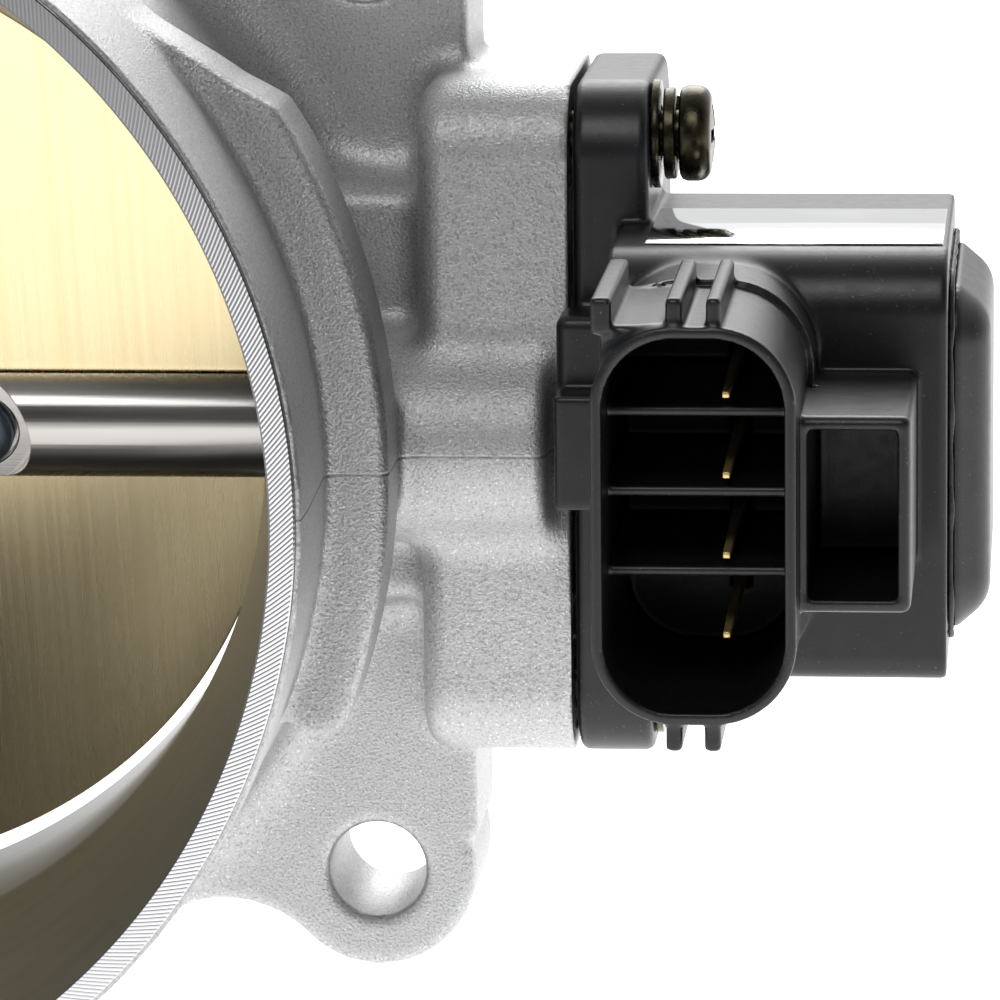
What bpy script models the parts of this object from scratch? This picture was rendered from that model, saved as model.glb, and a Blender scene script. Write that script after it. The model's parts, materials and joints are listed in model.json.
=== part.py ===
"""A drive-by-wire throttle body: casting, blade on its shaft, gear train, motor, plastic cover.

Sizes are in millimetres in the bore's own frame: X along the shaft toward the cover, -Y toward
the inlet, Z up, the shaft axis crossing the bore axis at the origin.  The whole assembly hangs
on one empty that puts the middle of the engine face, below the bore, at the world's origin.
"""
import math

import bmesh
import bpy
from mathutils import Matrix

MM = 0.001

# ---- driving dimensions -------------------------------------------------------------------
BORE_RADIUS = 40.6
RIM_RADIUS = 45.0
RIM_Y = -40.4
FLANGE_FRONT = 0.0
FLANGE_REAR = 14.0
FLANGE_RADIUS = 49.5
FLANGE_SIDE = 55.2
BOLT_X = 47.5
BOLT_Z = 35.2
BOLT_HOLE = 3.7
EAR_RADIUS = 7.5
SEAL_RADIUS = 43.5
MOUNT_Z = -46.8

LIP_FRONT = -23.5
LIP_BACK = -15.3
LIP_INNER = 45.8
LIP_OUTER = 51.4
LIP_CORNER = 1.9
LIP_END = -24.5
LIP_BEND = 31.0
LIP_TOP = 43.0
BOSS_RADIUS = 8.6
BOSS_LEFT = -58.0
HUMP_MIDDLE = -8.0
HUMP_DEPTH = 8.0
HUMP_HEIGHT = 7.5
HUMP_END = 62.0

SHAFT_RADIUS = 4.55
GAP = 0.3
BEARING_RADIUS = 6.1
BLADE_RADIUS = 40.25
BLADE_THICK = 2.0
CLOSED_ANGLE = 6.0
REST_ANGLE = 17.6
SCREW_X = 18.0
SPOT_RADIUS = 4.3
SPOT_DEPTH = 2.4
HEAD_RADIUS = 2.75
HEAD_SEAT = 1.75
THREAD_RADIUS = 1.75
SHAFT_LEFT = -54.5
SHAFT_RIGHT = 60.6

TRAY_FLOOR = 54.4
TRAY_LEFT = 52.4
TRAY_END = 63.5
TRAY_FRONT = -12.0
TRAY_TOP = 26.5
TRAY_BOTTOM = -23.7
TRAY_CORNER = 5.3
WALL = 1.8
POST_RADIUS = 3.2
SCREW_TOP = 22.5
COVER_START = 63.9
COVER_ROOF = 69.4

MODULE = 0.6
WHEEL_TEETH = 30
PINION_TEETH = 10
PRESSURE = math.radians(25)
BACKLASH = 0.1
CENTRES = MODULE * (WHEEL_TEETH + PINION_TEETH) / 2
IDLER_DIRECTION = math.radians(86.2)
MOTOR_DIRECTION = math.radians(233.1)
MOTOR_RADIUS = 9.6

HOUSING_LEFT = 67.4
HOUSING_END = 91.3
HOUSING = (-27.0, 5.0, -13.4, 16.6)
LID = (-24.0, 2.8, -10.3, 13.6)
LID_FACE = 94.3
LABEL_FRONT = -22.3
LABEL_REAR = -5.3

PLUG_FRONT = -50.0
PLUG_SHELL = (67.9, 81.7, -11.8, 15.3)
PLUG_WALL = 0.8
PLUG_CORNER = 5.6
PLUG_FLOOR = -26.0
COLLAR_FRONT = -33.3
PIN_X = 76.8
PIN_PITCH = 5.5
PIN_TOP = 10.0
PIN_TIP = -45.6
RIBS = ((68.0, 69.4), (73.0, 74.1), (75.7, 76.7))
KEELS = ((72.9, 74.0), (75.5, 76.6))

# ---- positions worked out from them ---------------------------------------------------------
IDLER = (CENTRES * math.cos(IDLER_DIRECTION), CENTRES * math.sin(IDLER_DIRECTION))
MOTOR = (IDLER[0] + CENTRES * math.cos(MOTOR_DIRECTION),
         IDLER[1] + CENTRES * math.sin(MOTOR_DIRECTION))
SCREWS = [(TRAY_FRONT + TRAY_CORNER, SCREW_TOP),
          (TRAY_FRONT + TRAY_CORNER, TRAY_BOTTOM + TRAY_CORNER),
          (FLANGE_REAR - TRAY_CORNER, TRAY_BOTTOM + TRAY_CORNER)]
PIN_HEIGHTS = [PIN_TOP - PIN_PITCH * i for i in range(4)]
BOLTS = [(sx * BOLT_X, sz * BOLT_Z) for sx in (1, -1) for sz in (1, -1)]

PARTS = None
CUTTERS = None
FRAME = None
AXES = {}
LOOKS = {}


# ---- helpers ----------------------------------------------------------------------------------
def start():
    """An empty scene, two collections and the frame empty."""
    global PARTS, CUTTERS, FRAME
    for item in list(bpy.data.objects):
        bpy.data.objects.remove(item, do_unlink=True)
    PARTS = bpy.data.collections.new("Throttle Body")
    CUTTERS = bpy.data.collections.new("Cutters")
    bpy.context.scene.collection.children.link(PARTS)
    bpy.context.scene.collection.children.link(CUTTERS)
    CUTTERS.hide_render = True
    FRAME = empty("bore_frame", None, (0.0, -FLANGE_REAR, -MOUNT_Z), 0.0)
    AXES["throttle"] = empty("throttle_axis", FRAME, (0.0, 0.0, 0.0), math.radians(REST_ANGLE))
    AXES["idler"] = empty("idler_axis", FRAME, (0.0, IDLER[0], IDLER[1]), 0.0)
    AXES["rotor"] = empty("rotor_axis", FRAME, (0.0, MOTOR[0], MOTOR[1]), 0.0)


def empty(name, parent, place, turn):
    """An axis marker that pieces hang on."""
    item = bpy.data.objects.new(name, None)
    PARTS.objects.link(item)
    item.parent = parent
    item.location = [v * MM for v in place]
    item.rotation_euler = (turn, 0.0, 0.0)
    return item


def look(name, colour, roughness, metallic):
    """One Principled material, made once."""
    if name not in LOOKS:
        mat = bpy.data.materials.new(name)
        mat.use_nodes = True
        shader = mat.node_tree.nodes["Principled BSDF"]
        shader.inputs["Base Color"].default_value = (*colour, 1.0)
        shader.inputs["Roughness"].default_value = roughness
        shader.inputs["Metallic"].default_value = metallic
        mat.diffuse_color = (*colour, 1.0)
        LOOKS[name] = mat
    return LOOKS[name]


def add(name, mesh, parent=None, cutter=False):
    """A mesh as an object under its parent."""
    item = bpy.data.objects.new(name, mesh)
    (CUTTERS if cutter else PARTS).objects.link(item)
    item.parent = parent or FRAME
    if cutter:
        item.hide_render = True
        item.display_type = "WIRE"
    return item


def finish(item, mat, smooth=35):
    """Material and shading of a finished piece."""
    item.data.materials.clear()
    item.data.materials.append(mat)
    item.data.shade_smooth()
    item.data.set_sharp_from_angle(angle=math.radians(smooth))
    return item


def arc(centre, radius, first, last, steps):
    """Points on a circle between two angles in degrees."""
    turns = [math.radians(first + (last - first) * i / steps) for i in range(steps + 1)]
    return [(centre[0] + radius * math.cos(t), centre[1] + radius * math.sin(t)) for t in turns]


def rounded(box, radius, steps=5):
    """The outline of a rectangle (u0, u1, v0, v1) with rounded corners, anticlockwise."""
    u0, u1, v0, v1 = box
    return (arc((u1 - radius, v0 + radius), radius, -90, 0, steps)
            + arc((u1 - radius, v1 - radius), radius, 0, 90, steps)
            + arc((u0 + radius, v1 - radius), radius, 90, 180, steps)
            + arc((u0 + radius, v0 + radius), radius, 180, 270, steps))


def grown(box, amount):
    """A rectangle made larger on every side."""
    u0, u1, v0, v1 = box
    return (u0 - amount, u1 + amount, v0 - amount, v1 + amount)


def prism(name, outlines, low, high, axis):
    """Flat closed outlines made solid between two positions on an axis, X (outline in Y, Z)
    or Y (outline in X, Z)."""
    curve = bpy.data.curves.new(name, "CURVE")
    curve.dimensions = "2D"
    curve.fill_mode = "BOTH"
    curve.extrude = (high - low) / 2 * MM
    for outline in outlines:
        spline = curve.splines.new("POLY")
        spline.points.add(len(outline) - 1)
        for point, (u, v) in zip(spline.points, outline):
            point.co = (u * MM, v * MM, 0.0, 1.0)
        spline.use_cyclic_u = True
    holder = bpy.data.objects.new(name, curve)
    bpy.context.scene.collection.objects.link(holder)
    bpy.context.view_layer.update()
    mesh = bpy.data.meshes.new_from_object(holder.evaluated_get(bpy.context.evaluated_depsgraph_get()))
    bpy.data.objects.remove(holder, do_unlink=True)
    mesh.name = name
    middle = (low + high) / 2 * MM
    if axis == "X":
        place = Matrix(((0, 0, 1, middle), (1, 0, 0, 0), (0, 1, 0, 0), (0, 0, 0, 1)))
    else:
        place = Matrix(((1, 0, 0, 0), (0, 0, -1, middle), (0, 1, 0, 0), (0, 0, 0, 1)))
    return cleaned(mesh, place)


def cleaned(mesh, place):
    """Moves a mesh into position and closes its seams."""
    work = bmesh.new()
    work.from_mesh(mesh)
    bmesh.ops.remove_doubles(work, verts=work.verts, dist=1e-6)
    bmesh.ops.transform(work, matrix=place, verts=work.verts)
    bmesh.ops.recalc_face_normals(work, faces=work.faces)
    work.to_mesh(mesh)
    work.free()
    return mesh


def rod(name, radius, low, high, axis="X", at=(0.0, 0.0), segments=32):
    """A cylinder along an axis; at is its centre in the other two."""
    mesh = bpy.data.meshes.new(name)
    work = bmesh.new()
    bmesh.ops.create_cone(work, cap_ends=True, segments=segments, radius1=radius * MM,
                          radius2=radius * MM, depth=(high - low) * MM)
    middle = (low + high) / 2
    if axis == "X":
        place = Matrix.Translation([v * MM for v in (middle, *at)]) @ Matrix.Rotation(math.pi / 2, 4, "Y")
    else:
        place = (Matrix.Translation([v * MM for v in (at[0], middle, at[1])])
                 @ Matrix.Rotation(-math.pi / 2, 4, "X"))
    bmesh.ops.transform(work, matrix=place, verts=work.verts)
    work.to_mesh(mesh)
    work.free()
    return mesh


def block(name, xs, ys, zs):
    """A rectangular block between pairs of positions."""
    mesh = bpy.data.meshes.new(name)
    work = bmesh.new()
    bmesh.ops.create_cube(work, size=1.0)
    size = [(b - a) * MM for a, b in (xs, ys, zs)]
    middle = [(a + b) / 2 * MM for a, b in (xs, ys, zs)]
    place = Matrix.Translation(middle) @ Matrix.Diagonal((*size, 1.0))
    bmesh.ops.transform(work, matrix=place, verts=work.verts)
    work.to_mesh(mesh)
    work.free()
    return mesh


def turned(name, profile, axis, at=(0.0, 0.0), steps=48, parent=None, cutter=False):
    """A closed (radius, height) profile turned about an axis through at, as a Screw."""
    mesh = bpy.data.meshes.new(name)
    count = len(profile)
    mesh.from_pydata([(r * MM, 0.0, h * MM) for r, h in profile],
                     [(i, (i + 1) % count) for i in range(count)], [])
    item = add(name, mesh, parent, cutter)
    if axis == "X":
        item.location = (0.0, at[0] * MM, at[1] * MM)
        item.rotation_euler = (0.0, math.pi / 2, 0.0)
    else:
        item.location = (at[0] * MM, 0.0, at[1] * MM)
        item.rotation_euler = (-math.pi / 2, 0.0, 0.0)
    screw = item.modifiers.new("Screw", "SCREW")
    screw.axis = "Z"
    screw.steps = steps
    screw.render_steps = steps
    screw.use_merge_vertices = True
    screw.merge_threshold = 0.00001
    return item


def ring(outer, inner, low, high):
    """The profile of a plain ring, outer side from top to bottom."""
    return [(outer, high), (outer, low), (inner, low), (inner, high)]


def boolean(item, tool, operation):
    """One boolean step; the casting's many touching roundings need the manifold solver."""
    step = item.modifiers.new(operation.title(), "BOOLEAN")
    step.operation = operation
    step.solver = "MANIFOLD" if item.name == "throttle_casting" else "EXACT"
    step.object = tool
    return item


def cut(item, *meshes):
    """Takes each mesh away from the piece."""
    for mesh in meshes:
        boolean(item, add("cut_" + mesh.name, mesh, item.parent, cutter=True), "DIFFERENCE")


def join(item, *meshes):
    """Adds each mesh to the piece."""
    for mesh in meshes:
        boolean(item, add("add_" + mesh.name, mesh, item.parent, cutter=True), "UNION")


def bevelled(mesh, width, segments=2, angle=40):
    """A mesh with its sharp edges rounded."""
    item = add("round_" + mesh.name, mesh, None, cutter=True)
    bevel = item.modifiers.new("Bevel", "BEVEL")
    bevel.width = width * MM
    bevel.segments = segments
    bevel.limit_method = "ANGLE"
    bevel.angle_limit = math.radians(angle)
    bpy.context.view_layer.update()
    source = item.evaluated_get(bpy.context.evaluated_depsgraph_get())
    result = bpy.data.meshes.new_from_object(source)
    result.name = mesh.name + "_rounded"
    bpy.data.objects.remove(item, do_unlink=True)
    return result


def gear(teeth, toothed, first_angle, hub_radius=0.0):
    """The outline of an involute wheel: a tooth centred on first_angle, then toothed of them;
    the rest of the rim stays at hub_radius."""
    pitch = MODULE * teeth / 2
    base = pitch * math.cos(PRESSURE)
    tip = pitch + 0.8 * MODULE
    root = pitch - 1.05 * MODULE
    half = (math.pi * MODULE / 2 - BACKLASH) / (2 * pitch) + math.tan(PRESSURE) - PRESSURE
    radii = [root] + [max(base, root + 0.02) + (tip - max(base, root + 0.02)) * k / 2 for k in range(3)]
    flank = []
    for radius in radii:
        lean = math.acos(min(1.0, base / radius))
        flank.append((radius, half - (math.tan(lean) - lean)))
    step = 2 * math.pi / teeth
    points = []
    for index in range(teeth):
        centre = first_angle + index * step
        if index < toothed:
            side = [(r, centre - a) for r, a in flank] + [(r, centre + a) for r, a in reversed(flank)]
        else:
            side = [(hub_radius, centre - step / 2), (hub_radius, centre)]
        points += [(r * math.cos(t), r * math.sin(t)) for r, t in side]
    return points


# ---- outlines -----------------------------------------------------------------------------------
def flange_outline():
    """The engine flange: a disc, straight sides and four bolt ears with hollow fillets."""
    fillet = 6.3
    reach = FLANGE_RADIUS + fillet
    ear = EAR_RADIUS + fillet
    span = math.hypot(BOLT_X, BOLT_Z)
    along = (reach ** 2 - ear ** 2 + span ** 2) / (2 * span)
    side = math.sqrt(reach ** 2 - along ** 2)
    ux, uz = BOLT_X / span, BOLT_Z / span
    fx, fz = along * ux - side * uz, along * uz + side * ux
    ear_turn = math.degrees(math.atan2(fz - BOLT_Z, fx - BOLT_X))
    disc_turn = math.degrees(math.atan2(fz, fx))
    quarter = ([(FLANGE_SIDE, BOLT_Z - 3.0)]
               + arc((BOLT_X, BOLT_Z), EAR_RADIUS, 0, ear_turn, 8)
               + arc((fx, fz), fillet, ear_turn - 180, disc_turn - 180, 5)[1:]
               + arc((0.0, 0.0), FLANGE_RADIUS, disc_turn, 90, 8)[1:-1])
    half = quarter + [(0.0, FLANGE_RADIUS)] + [(-x, z) for x, z in reversed(quarter)]
    return half + [(-x, -z) for x, z in half]


def tray_outline():
    """The gear tray and cover frame seen along the shaft."""
    return rounded((TRAY_FRONT, FLANGE_REAR, TRAY_BOTTOM, TRAY_TOP), TRAY_CORNER, 6)


def tray_inside(extra=0.0):
    """The tray's inside, a rounded rectangle one wall in from the outline."""
    box = (TRAY_FRONT + WALL, FLANGE_REAR - WALL, TRAY_BOTTOM + WALL, TRAY_TOP - WALL)
    return rounded(grown(box, extra), TRAY_CORNER - WALL + extra, 5)


def posts(item, low, high):
    """A round post around each cover screw."""
    for index, at in enumerate(SCREWS):
        join(item, rod("%s_post_%d" % (item.name, index), POST_RADIUS, low, high, "X", at, 24))


def hump_outline(back):
    """The rounded rib in front of the shaft bearing, from its crest back to a plane."""
    reach = math.acos((back - HUMP_MIDDLE) / HUMP_DEPTH)
    turns = [reach + 2 * (math.pi - reach) * i / 14 for i in range(15)]
    return [(HUMP_MIDDLE + HUMP_DEPTH * math.cos(t), HUMP_HEIGHT * math.sin(t)) for t in turns]


# ---- the casting -------------------------------------------------------------------------------
def casting_body(mat):
    """Tube, hose lip, flange, bearing bosses, web and gear tray in one piece."""
    tube = [(46.8, RIM_Y), (RIM_RADIUS, RIM_Y), (43.7, -34.5), (42.3, -28.0), (41.2, -21.5),
            (BORE_RADIUS, -15.0), (BORE_RADIUS, FLANGE_REAR - 0.6), (BORE_RADIUS + 0.6, FLANGE_REAR),
            (48.0, FLANGE_REAR), (48.0, 1.0), (47.9, -3.0), (46.9, -8.0), (46.9, -25.0),
            (47.2, -35.0), (47.2, -39.9)]
    body = turned("throttle_casting", tube, "Y", steps=64)
    join(body, prism("flange", [flange_outline()], FLANGE_FRONT, FLANGE_REAR, "Y"))
    lip = lip_outline()
    left_lip = [(-x, z) for x, z in reversed(lip)]
    for name, outline in (("lip", lip), ("lip_left", left_lip)):
        join(body, bevelled(prism(name, [outline], LIP_FRONT, LIP_BACK, "Y"), 0.9, 1))
    join(body, block("web", (44.0, 53.6), (-5.0, 8.0), (-13.0, 18.0)))
    join(body, bevelled(prism("tray", [tray_outline()], TRAY_LEFT, TRAY_END, "X"), 1.4, 1))
    join(body, prism("rib_inner", [hump_outline(-2.0)], 44.5, 53.2, "X"))
    join(body, bevelled(prism("rib_outer", [hump_outline(TRAY_FRONT + 1.0)], 52.8, HUMP_END, "X"), 0.5))
    join(body, rod("boss", BOSS_RADIUS, 43.0, 53.9, segments=28))
    join(body, rod("boss_left", BOSS_RADIUS, BOSS_LEFT, -43.0, segments=28))
    cut(body, rod("bore", BORE_RADIUS, -16.0, FLANGE_REAR + 2, "Y", segments=64))
    cut(body, prism("tray_inside", [tray_inside()], TRAY_FLOOR, TRAY_END + 3, "X"))
    posts(body, TRAY_FLOOR - 0.7, TRAY_END)
    cut(body, rod("shaft_hole", SHAFT_RADIUS + GAP, -60.0, 60.0))
    cut(body, rod("bearing_pocket", BEARING_RADIUS + GAP, 43.6, 60.0))
    cut(body, rod("bearing_pocket_left", BEARING_RADIUS + GAP, -60.0, -43.6))
    for index, (x, z) in enumerate(BOLTS):
        cut(body, rod("bolt_hole_%d" % index, BOLT_HOLE, -4.0, FLANGE_REAR + 2, "Y", (x, z), 20))
    for index, at in enumerate(SCREWS):
        cut(body, rod("screw_hole_%d" % index, 2.0, 55.5, TRAY_END + 2, "X", at, 16))
    cut(body, rod("pin_hole", 1.8, TRAY_LEFT + 0.6, 60.0, "X", IDLER, 16))
    groove = turned("cut_seal_groove", ring(SEAL_RADIUS + 1.1, SEAL_RADIUS - 1.1, FLANGE_REAR - 2.2,
                                            FLANGE_REAR + 2.0), "Y", steps=64, cutter=True)
    boolean(body, groove, "DIFFERENCE")
    return finish(body, mat)


def lip_outline():
    """The raised hose lip: a ring sector with a round lower end and a slanted upper end."""
    end = LIP_END + math.degrees(LIP_CORNER / LIP_OUTER)
    lower = arc(polar(LIP_OUTER - LIP_CORNER, end), LIP_CORNER, end - 90, end, 4)
    slant = [polar(LIP_OUTER - 1.6, LIP_BEND + 3.0), polar(LIP_OUTER - 3.0, LIP_BEND + 7.0),
             polar(LIP_INNER, LIP_TOP)]
    return ([polar(LIP_INNER, LIP_END)] + lower + arc((0, 0), LIP_OUTER, end + 3, LIP_BEND, 12) + slant
            + arc((0, 0), LIP_INNER, LIP_TOP - 8, end + 3, 8))


def polar(radius, degrees):
    """The point at a radius and angle."""
    return (radius * math.cos(math.radians(degrees)), radius * math.sin(math.radians(degrees)))


# ---- the throttle ------------------------------------------------------------------------------
def throttle_pieces(steel, brass, zinc, nylon, magnet):
    """Everything that turns with the blade, built square to the bore and tilted by its empty."""
    hub = AXES["throttle"]
    bar = rod("throttle_shaft", SHAFT_RADIUS, SHAFT_LEFT, SHAFT_RIGHT, segments=28)
    shaft = add("throttle_shaft", bar, hub)
    half_slot = BLADE_THICK / 2 + GAP
    slot_end = BLADE_RADIUS + 0.15
    hole = THREAD_RADIUS + GAP
    cut(shaft, block("slot", (-slot_end, slot_end), (-half_slot, half_slot), (-6.0, 6.0)))
    for sign in (-1, 1):
        at = (sign * SCREW_X, 0.0)
        cut(shaft, rod("spot_%d" % sign, SPOT_RADIUS, -6.0, -SPOT_DEPTH, "Y", at, 32))
        cut(shaft, rod("seat_%d" % sign, HEAD_RADIUS + GAP, -6.0, -HEAD_SEAT + GAP / 2, "Y", at, 24))
        cut(shaft, rod("thread_%d" % sign, hole, -6.0, 6.0, "Y", at, 20))
    finish(shaft, steel)

    half = BLADE_THICK / 2
    blade_mesh = rod("throttle_blade", BLADE_RADIUS, -half, half, "Y", segments=72)
    tilt = math.radians(CLOSED_ANGLE)
    shear = Matrix.Identity(4)
    shear[2][1] = -math.tan(tilt)
    shear[2][2] = 1 / math.cos(tilt)
    blade_mesh.transform(shear)
    blade = add("throttle_blade", blade_mesh, hub)
    for sign in (-1, 1):
        cut(blade, rod("blade_hole_%d" % sign, hole, -3.0, 3.0, "Y", (sign * SCREW_X, 0.0), 20))
    finish(blade, brass)

    profile = [(THREAD_RADIUS, 3.6), (THREAD_RADIUS, -HEAD_SEAT), (HEAD_RADIUS, -HEAD_SEAT),
               (HEAD_RADIUS, -3.1), (HEAD_RADIUS - 0.7, -3.8), (0.0, -4.1), (0.0, 3.6)]
    for side, sign in (("right", 1), ("left", -1)):
        middle = sign * SCREW_X
        screw = turned("blade_screw_" + side, profile, "Y", (middle, 0.0), 20, hub)
        cross = block("cross_" + side, (middle - 1.7, middle + 1.7), (-5.0, -3.1), (-0.35, 0.35))
        second = block("cross_bar_" + side, (middle - 0.35, middle + 0.35), (-5.0, -3.1), (-1.7, 1.7))
        for mesh in (cross, second):
            tool = add("cut_" + mesh.name, mesh, hub, cutter=True)
            boolean(screw, tool, "DIFFERENCE")
        finish(screw, zinc)

    rest = math.radians(REST_ANGLE)
    first = IDLER_DIRECTION - rest - math.radians(84)
    outline = gear(WHEEL_TEETH, 11, first, 6.9)
    sector = add("sector_gear", prism("sector_gear", [outline], 58.0, 60.5, "X"), hub)
    cut(sector, rod("sector_bore", SHAFT_RADIUS + GAP, 57.0, 62.0, segments=24))
    finish(sector, nylon)
    disc = add("sensor_magnet", rod("sensor_magnet", 2.0, 61.0, 63.0, segments=24), hub)
    finish(disc, magnet)


def shaft_supports(steel, rubber, zinc):
    """Bearings, shaft seals, the blind plug and the flange seal."""
    for side, sign in (("right", 1), ("left", -1)):
        ends = sorted((sign * 43.9, sign * 50.4))
        sleeve = ring(BEARING_RADIUS, SHAFT_RADIUS + GAP, *ends)
        finish(turned(side + "_bearing", sleeve, "X", steps=28), steel)
        ends = sorted((sign * 50.8, sign * 53.8))
        seal = ring(BEARING_RADIUS, SHAFT_RADIUS + GAP, *ends)
        finish(turned(side + "_shaft_seal", seal, "X", steps=28), rubber)
    finish(add("shaft_plug", rod("shaft_plug", BEARING_RADIUS, BOSS_LEFT + 0.6, BOSS_LEFT + 2.2)), zinc)
    profile = ring(SEAL_RADIUS + 0.8, SEAL_RADIUS - 0.8, FLANGE_REAR - 1.9, FLANGE_REAR + 0.3)
    seal = turned("flange_seal", profile, "Y", steps=48)
    finish(seal, rubber)


# ---- gears and motor ------------------------------------------------------------------------------
def idler_pieces(nylon, steel):
    """The compound wheel and the pin it turns on."""
    hub = AXES["idler"]
    to_motor = MOTOR_DIRECTION
    big = gear(WHEEL_TEETH, WHEEL_TEETH, to_motor)
    gap_side = IDLER_DIRECTION + math.pi + math.pi / PINION_TEETH
    small = gear(PINION_TEETH, PINION_TEETH, gap_side)
    wheel = add("idler_gear", prism("idler_gear", [big], 61.0, 63.2, "X"), hub)
    join(wheel, prism("idler_small", [small], 57.8, 61.6, "X"))
    cut(wheel, rod("idler_bore", 1.5 + GAP, 55.0, 66.0, segments=20))
    finish(wheel, nylon)
    finish(add("idler_pin", rod("idler_pin", 1.5, TRAY_LEFT + 1.0, 66.0, "X", IDLER, 20)), steel)


def motor_pieces(steel, copper, iron, brass, plastic, magnet, carbon):
    """The motor in its can, with the rotor under its own axis."""
    front, rear = 70.6, 90.0
    can = turned("motor_can", [(MOTOR_RADIUS, rear - 2.4), (MOTOR_RADIUS, front + 0.8),
                               (MOTOR_RADIUS - 0.8, front), (3.3, front), (3.3, front - 2.0),
                               (1.35, front - 2.0), (1.35, front + 0.9), (MOTOR_RADIUS - 0.9, front + 0.9),
                               (MOTOR_RADIUS - 0.9, rear - 2.4)], "X", MOTOR, 28)
    finish(can, steel)
    cap = turned("motor_end_cap", [(MOTOR_RADIUS, rear), (MOTOR_RADIUS, rear - 2.1), (1.35, rear - 2.1),
                                   (1.35, rear - 0.8), (0.0, rear - 0.8), (0.0, rear)], "X", MOTOR, 28)
    finish(cap, plastic)
    for side, start_turn in (("front", 110), ("rear", 290)):
        outline = (arc(MOTOR, MOTOR_RADIUS - 1.2, start_turn, start_turn + 140, 10)
                   + arc(MOTOR, MOTOR_RADIUS - 2.8, start_turn + 140, start_turn, 10))
        name = "motor_magnet_" + side
        finish(add(name, prism(name, [outline], front + 2.2, rear - 7.5, "X")), magnet)

    hub = AXES["rotor"]
    finish(add("motor_shaft", rod("motor_shaft", 1.0, 61.2, rear - 1.2, segments=20), hub), steel)
    slots = []
    for pole in range(5):
        turn = 72 * pole
        slots += arc((0, 0), MOTOR_RADIUS - 3.3, turn - 27, turn + 27, 5)
        slots += [(4.4 * math.cos(math.radians(turn + a)), 4.4 * math.sin(math.radians(turn + a)))
                  for a in (32, 40)]
    core = add("armature_core", prism("armature_core", [slots], front + 3.4, rear - 8.6, "X"), hub)
    cut(core, rod("core_bore", 1.1, front, rear, segments=20))
    finish(core, iron)
    for side, low in (("front", front + 2.0), ("rear", rear - 8.3)):
        finish(turned("winding_" + side, ring(5.6, 1.5, low, low + 1.1), "X", (0, 0), 24, hub), copper)
    finish(turned("commutator", ring(2.9, 1.1, rear - 6.9, rear - 2.6), "X", (0, 0), 24, hub), copper)
    gap_side = MOTOR_DIRECTION + math.pi + math.pi / PINION_TEETH
    outline = gear(PINION_TEETH, PINION_TEETH, gap_side)
    pinion = add("motor_pinion", prism("motor_pinion", [outline], 60.9, 64.4, "X"), hub)
    cut(pinion, rod("pinion_bore", 1.1, 60.0, 66.0, segments=20))
    finish(pinion, brass)
    for side, low in (("upper", MOTOR[1] + 3.2), ("lower", MOTOR[1] - 7.2)):
        name = "motor_brush_" + side
        brush = block(name, (rear - 6.0, rear - 3.2), (MOTOR[0] - 1.2, MOTOR[0] + 1.2), (low, low + 4.0))
        finish(add(name, brush), carbon)
    washer = turned("wave_washer", ring(8.6, 6.6, rear + 0.3, rear + 0.9), "X", MOTOR, 24)
    finish(washer, steel)


def spring_piece(steel):
    """The return spring: three turns around the shaft with two straight legs."""
    radius, wire, pitch, turns, per_turn = 7.6, 0.42, 1.0, 2.2, 16
    count = int(turns * per_turn)
    points = [(55.0 + pitch * i / per_turn, radius * math.cos(2 * math.pi * i / per_turn),
               radius * math.sin(2 * math.pi * i / per_turn)) for i in range(count + 1)]
    curve = bpy.data.curves.new("return_spring", "CURVE")
    curve.dimensions = "3D"
    curve.bevel_depth = wire * MM
    curve.bevel_resolution = 2
    curve.use_fill_caps = True
    spline = curve.splines.new("POLY")
    spline.points.add(len(points) - 1)
    for point, place in zip(spline.points, points):
        point.co = (*[v * MM for v in place], 1.0)
    holder = bpy.data.objects.new("spring_path", curve)
    bpy.context.scene.collection.objects.link(holder)
    bpy.context.view_layer.update()
    source = holder.evaluated_get(bpy.context.evaluated_depsgraph_get())
    mesh = bpy.data.meshes.new_from_object(source)
    bpy.data.objects.remove(holder, do_unlink=True)
    finish(add("return_spring", cleaned(mesh, Matrix.Identity(4))), steel)


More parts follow.
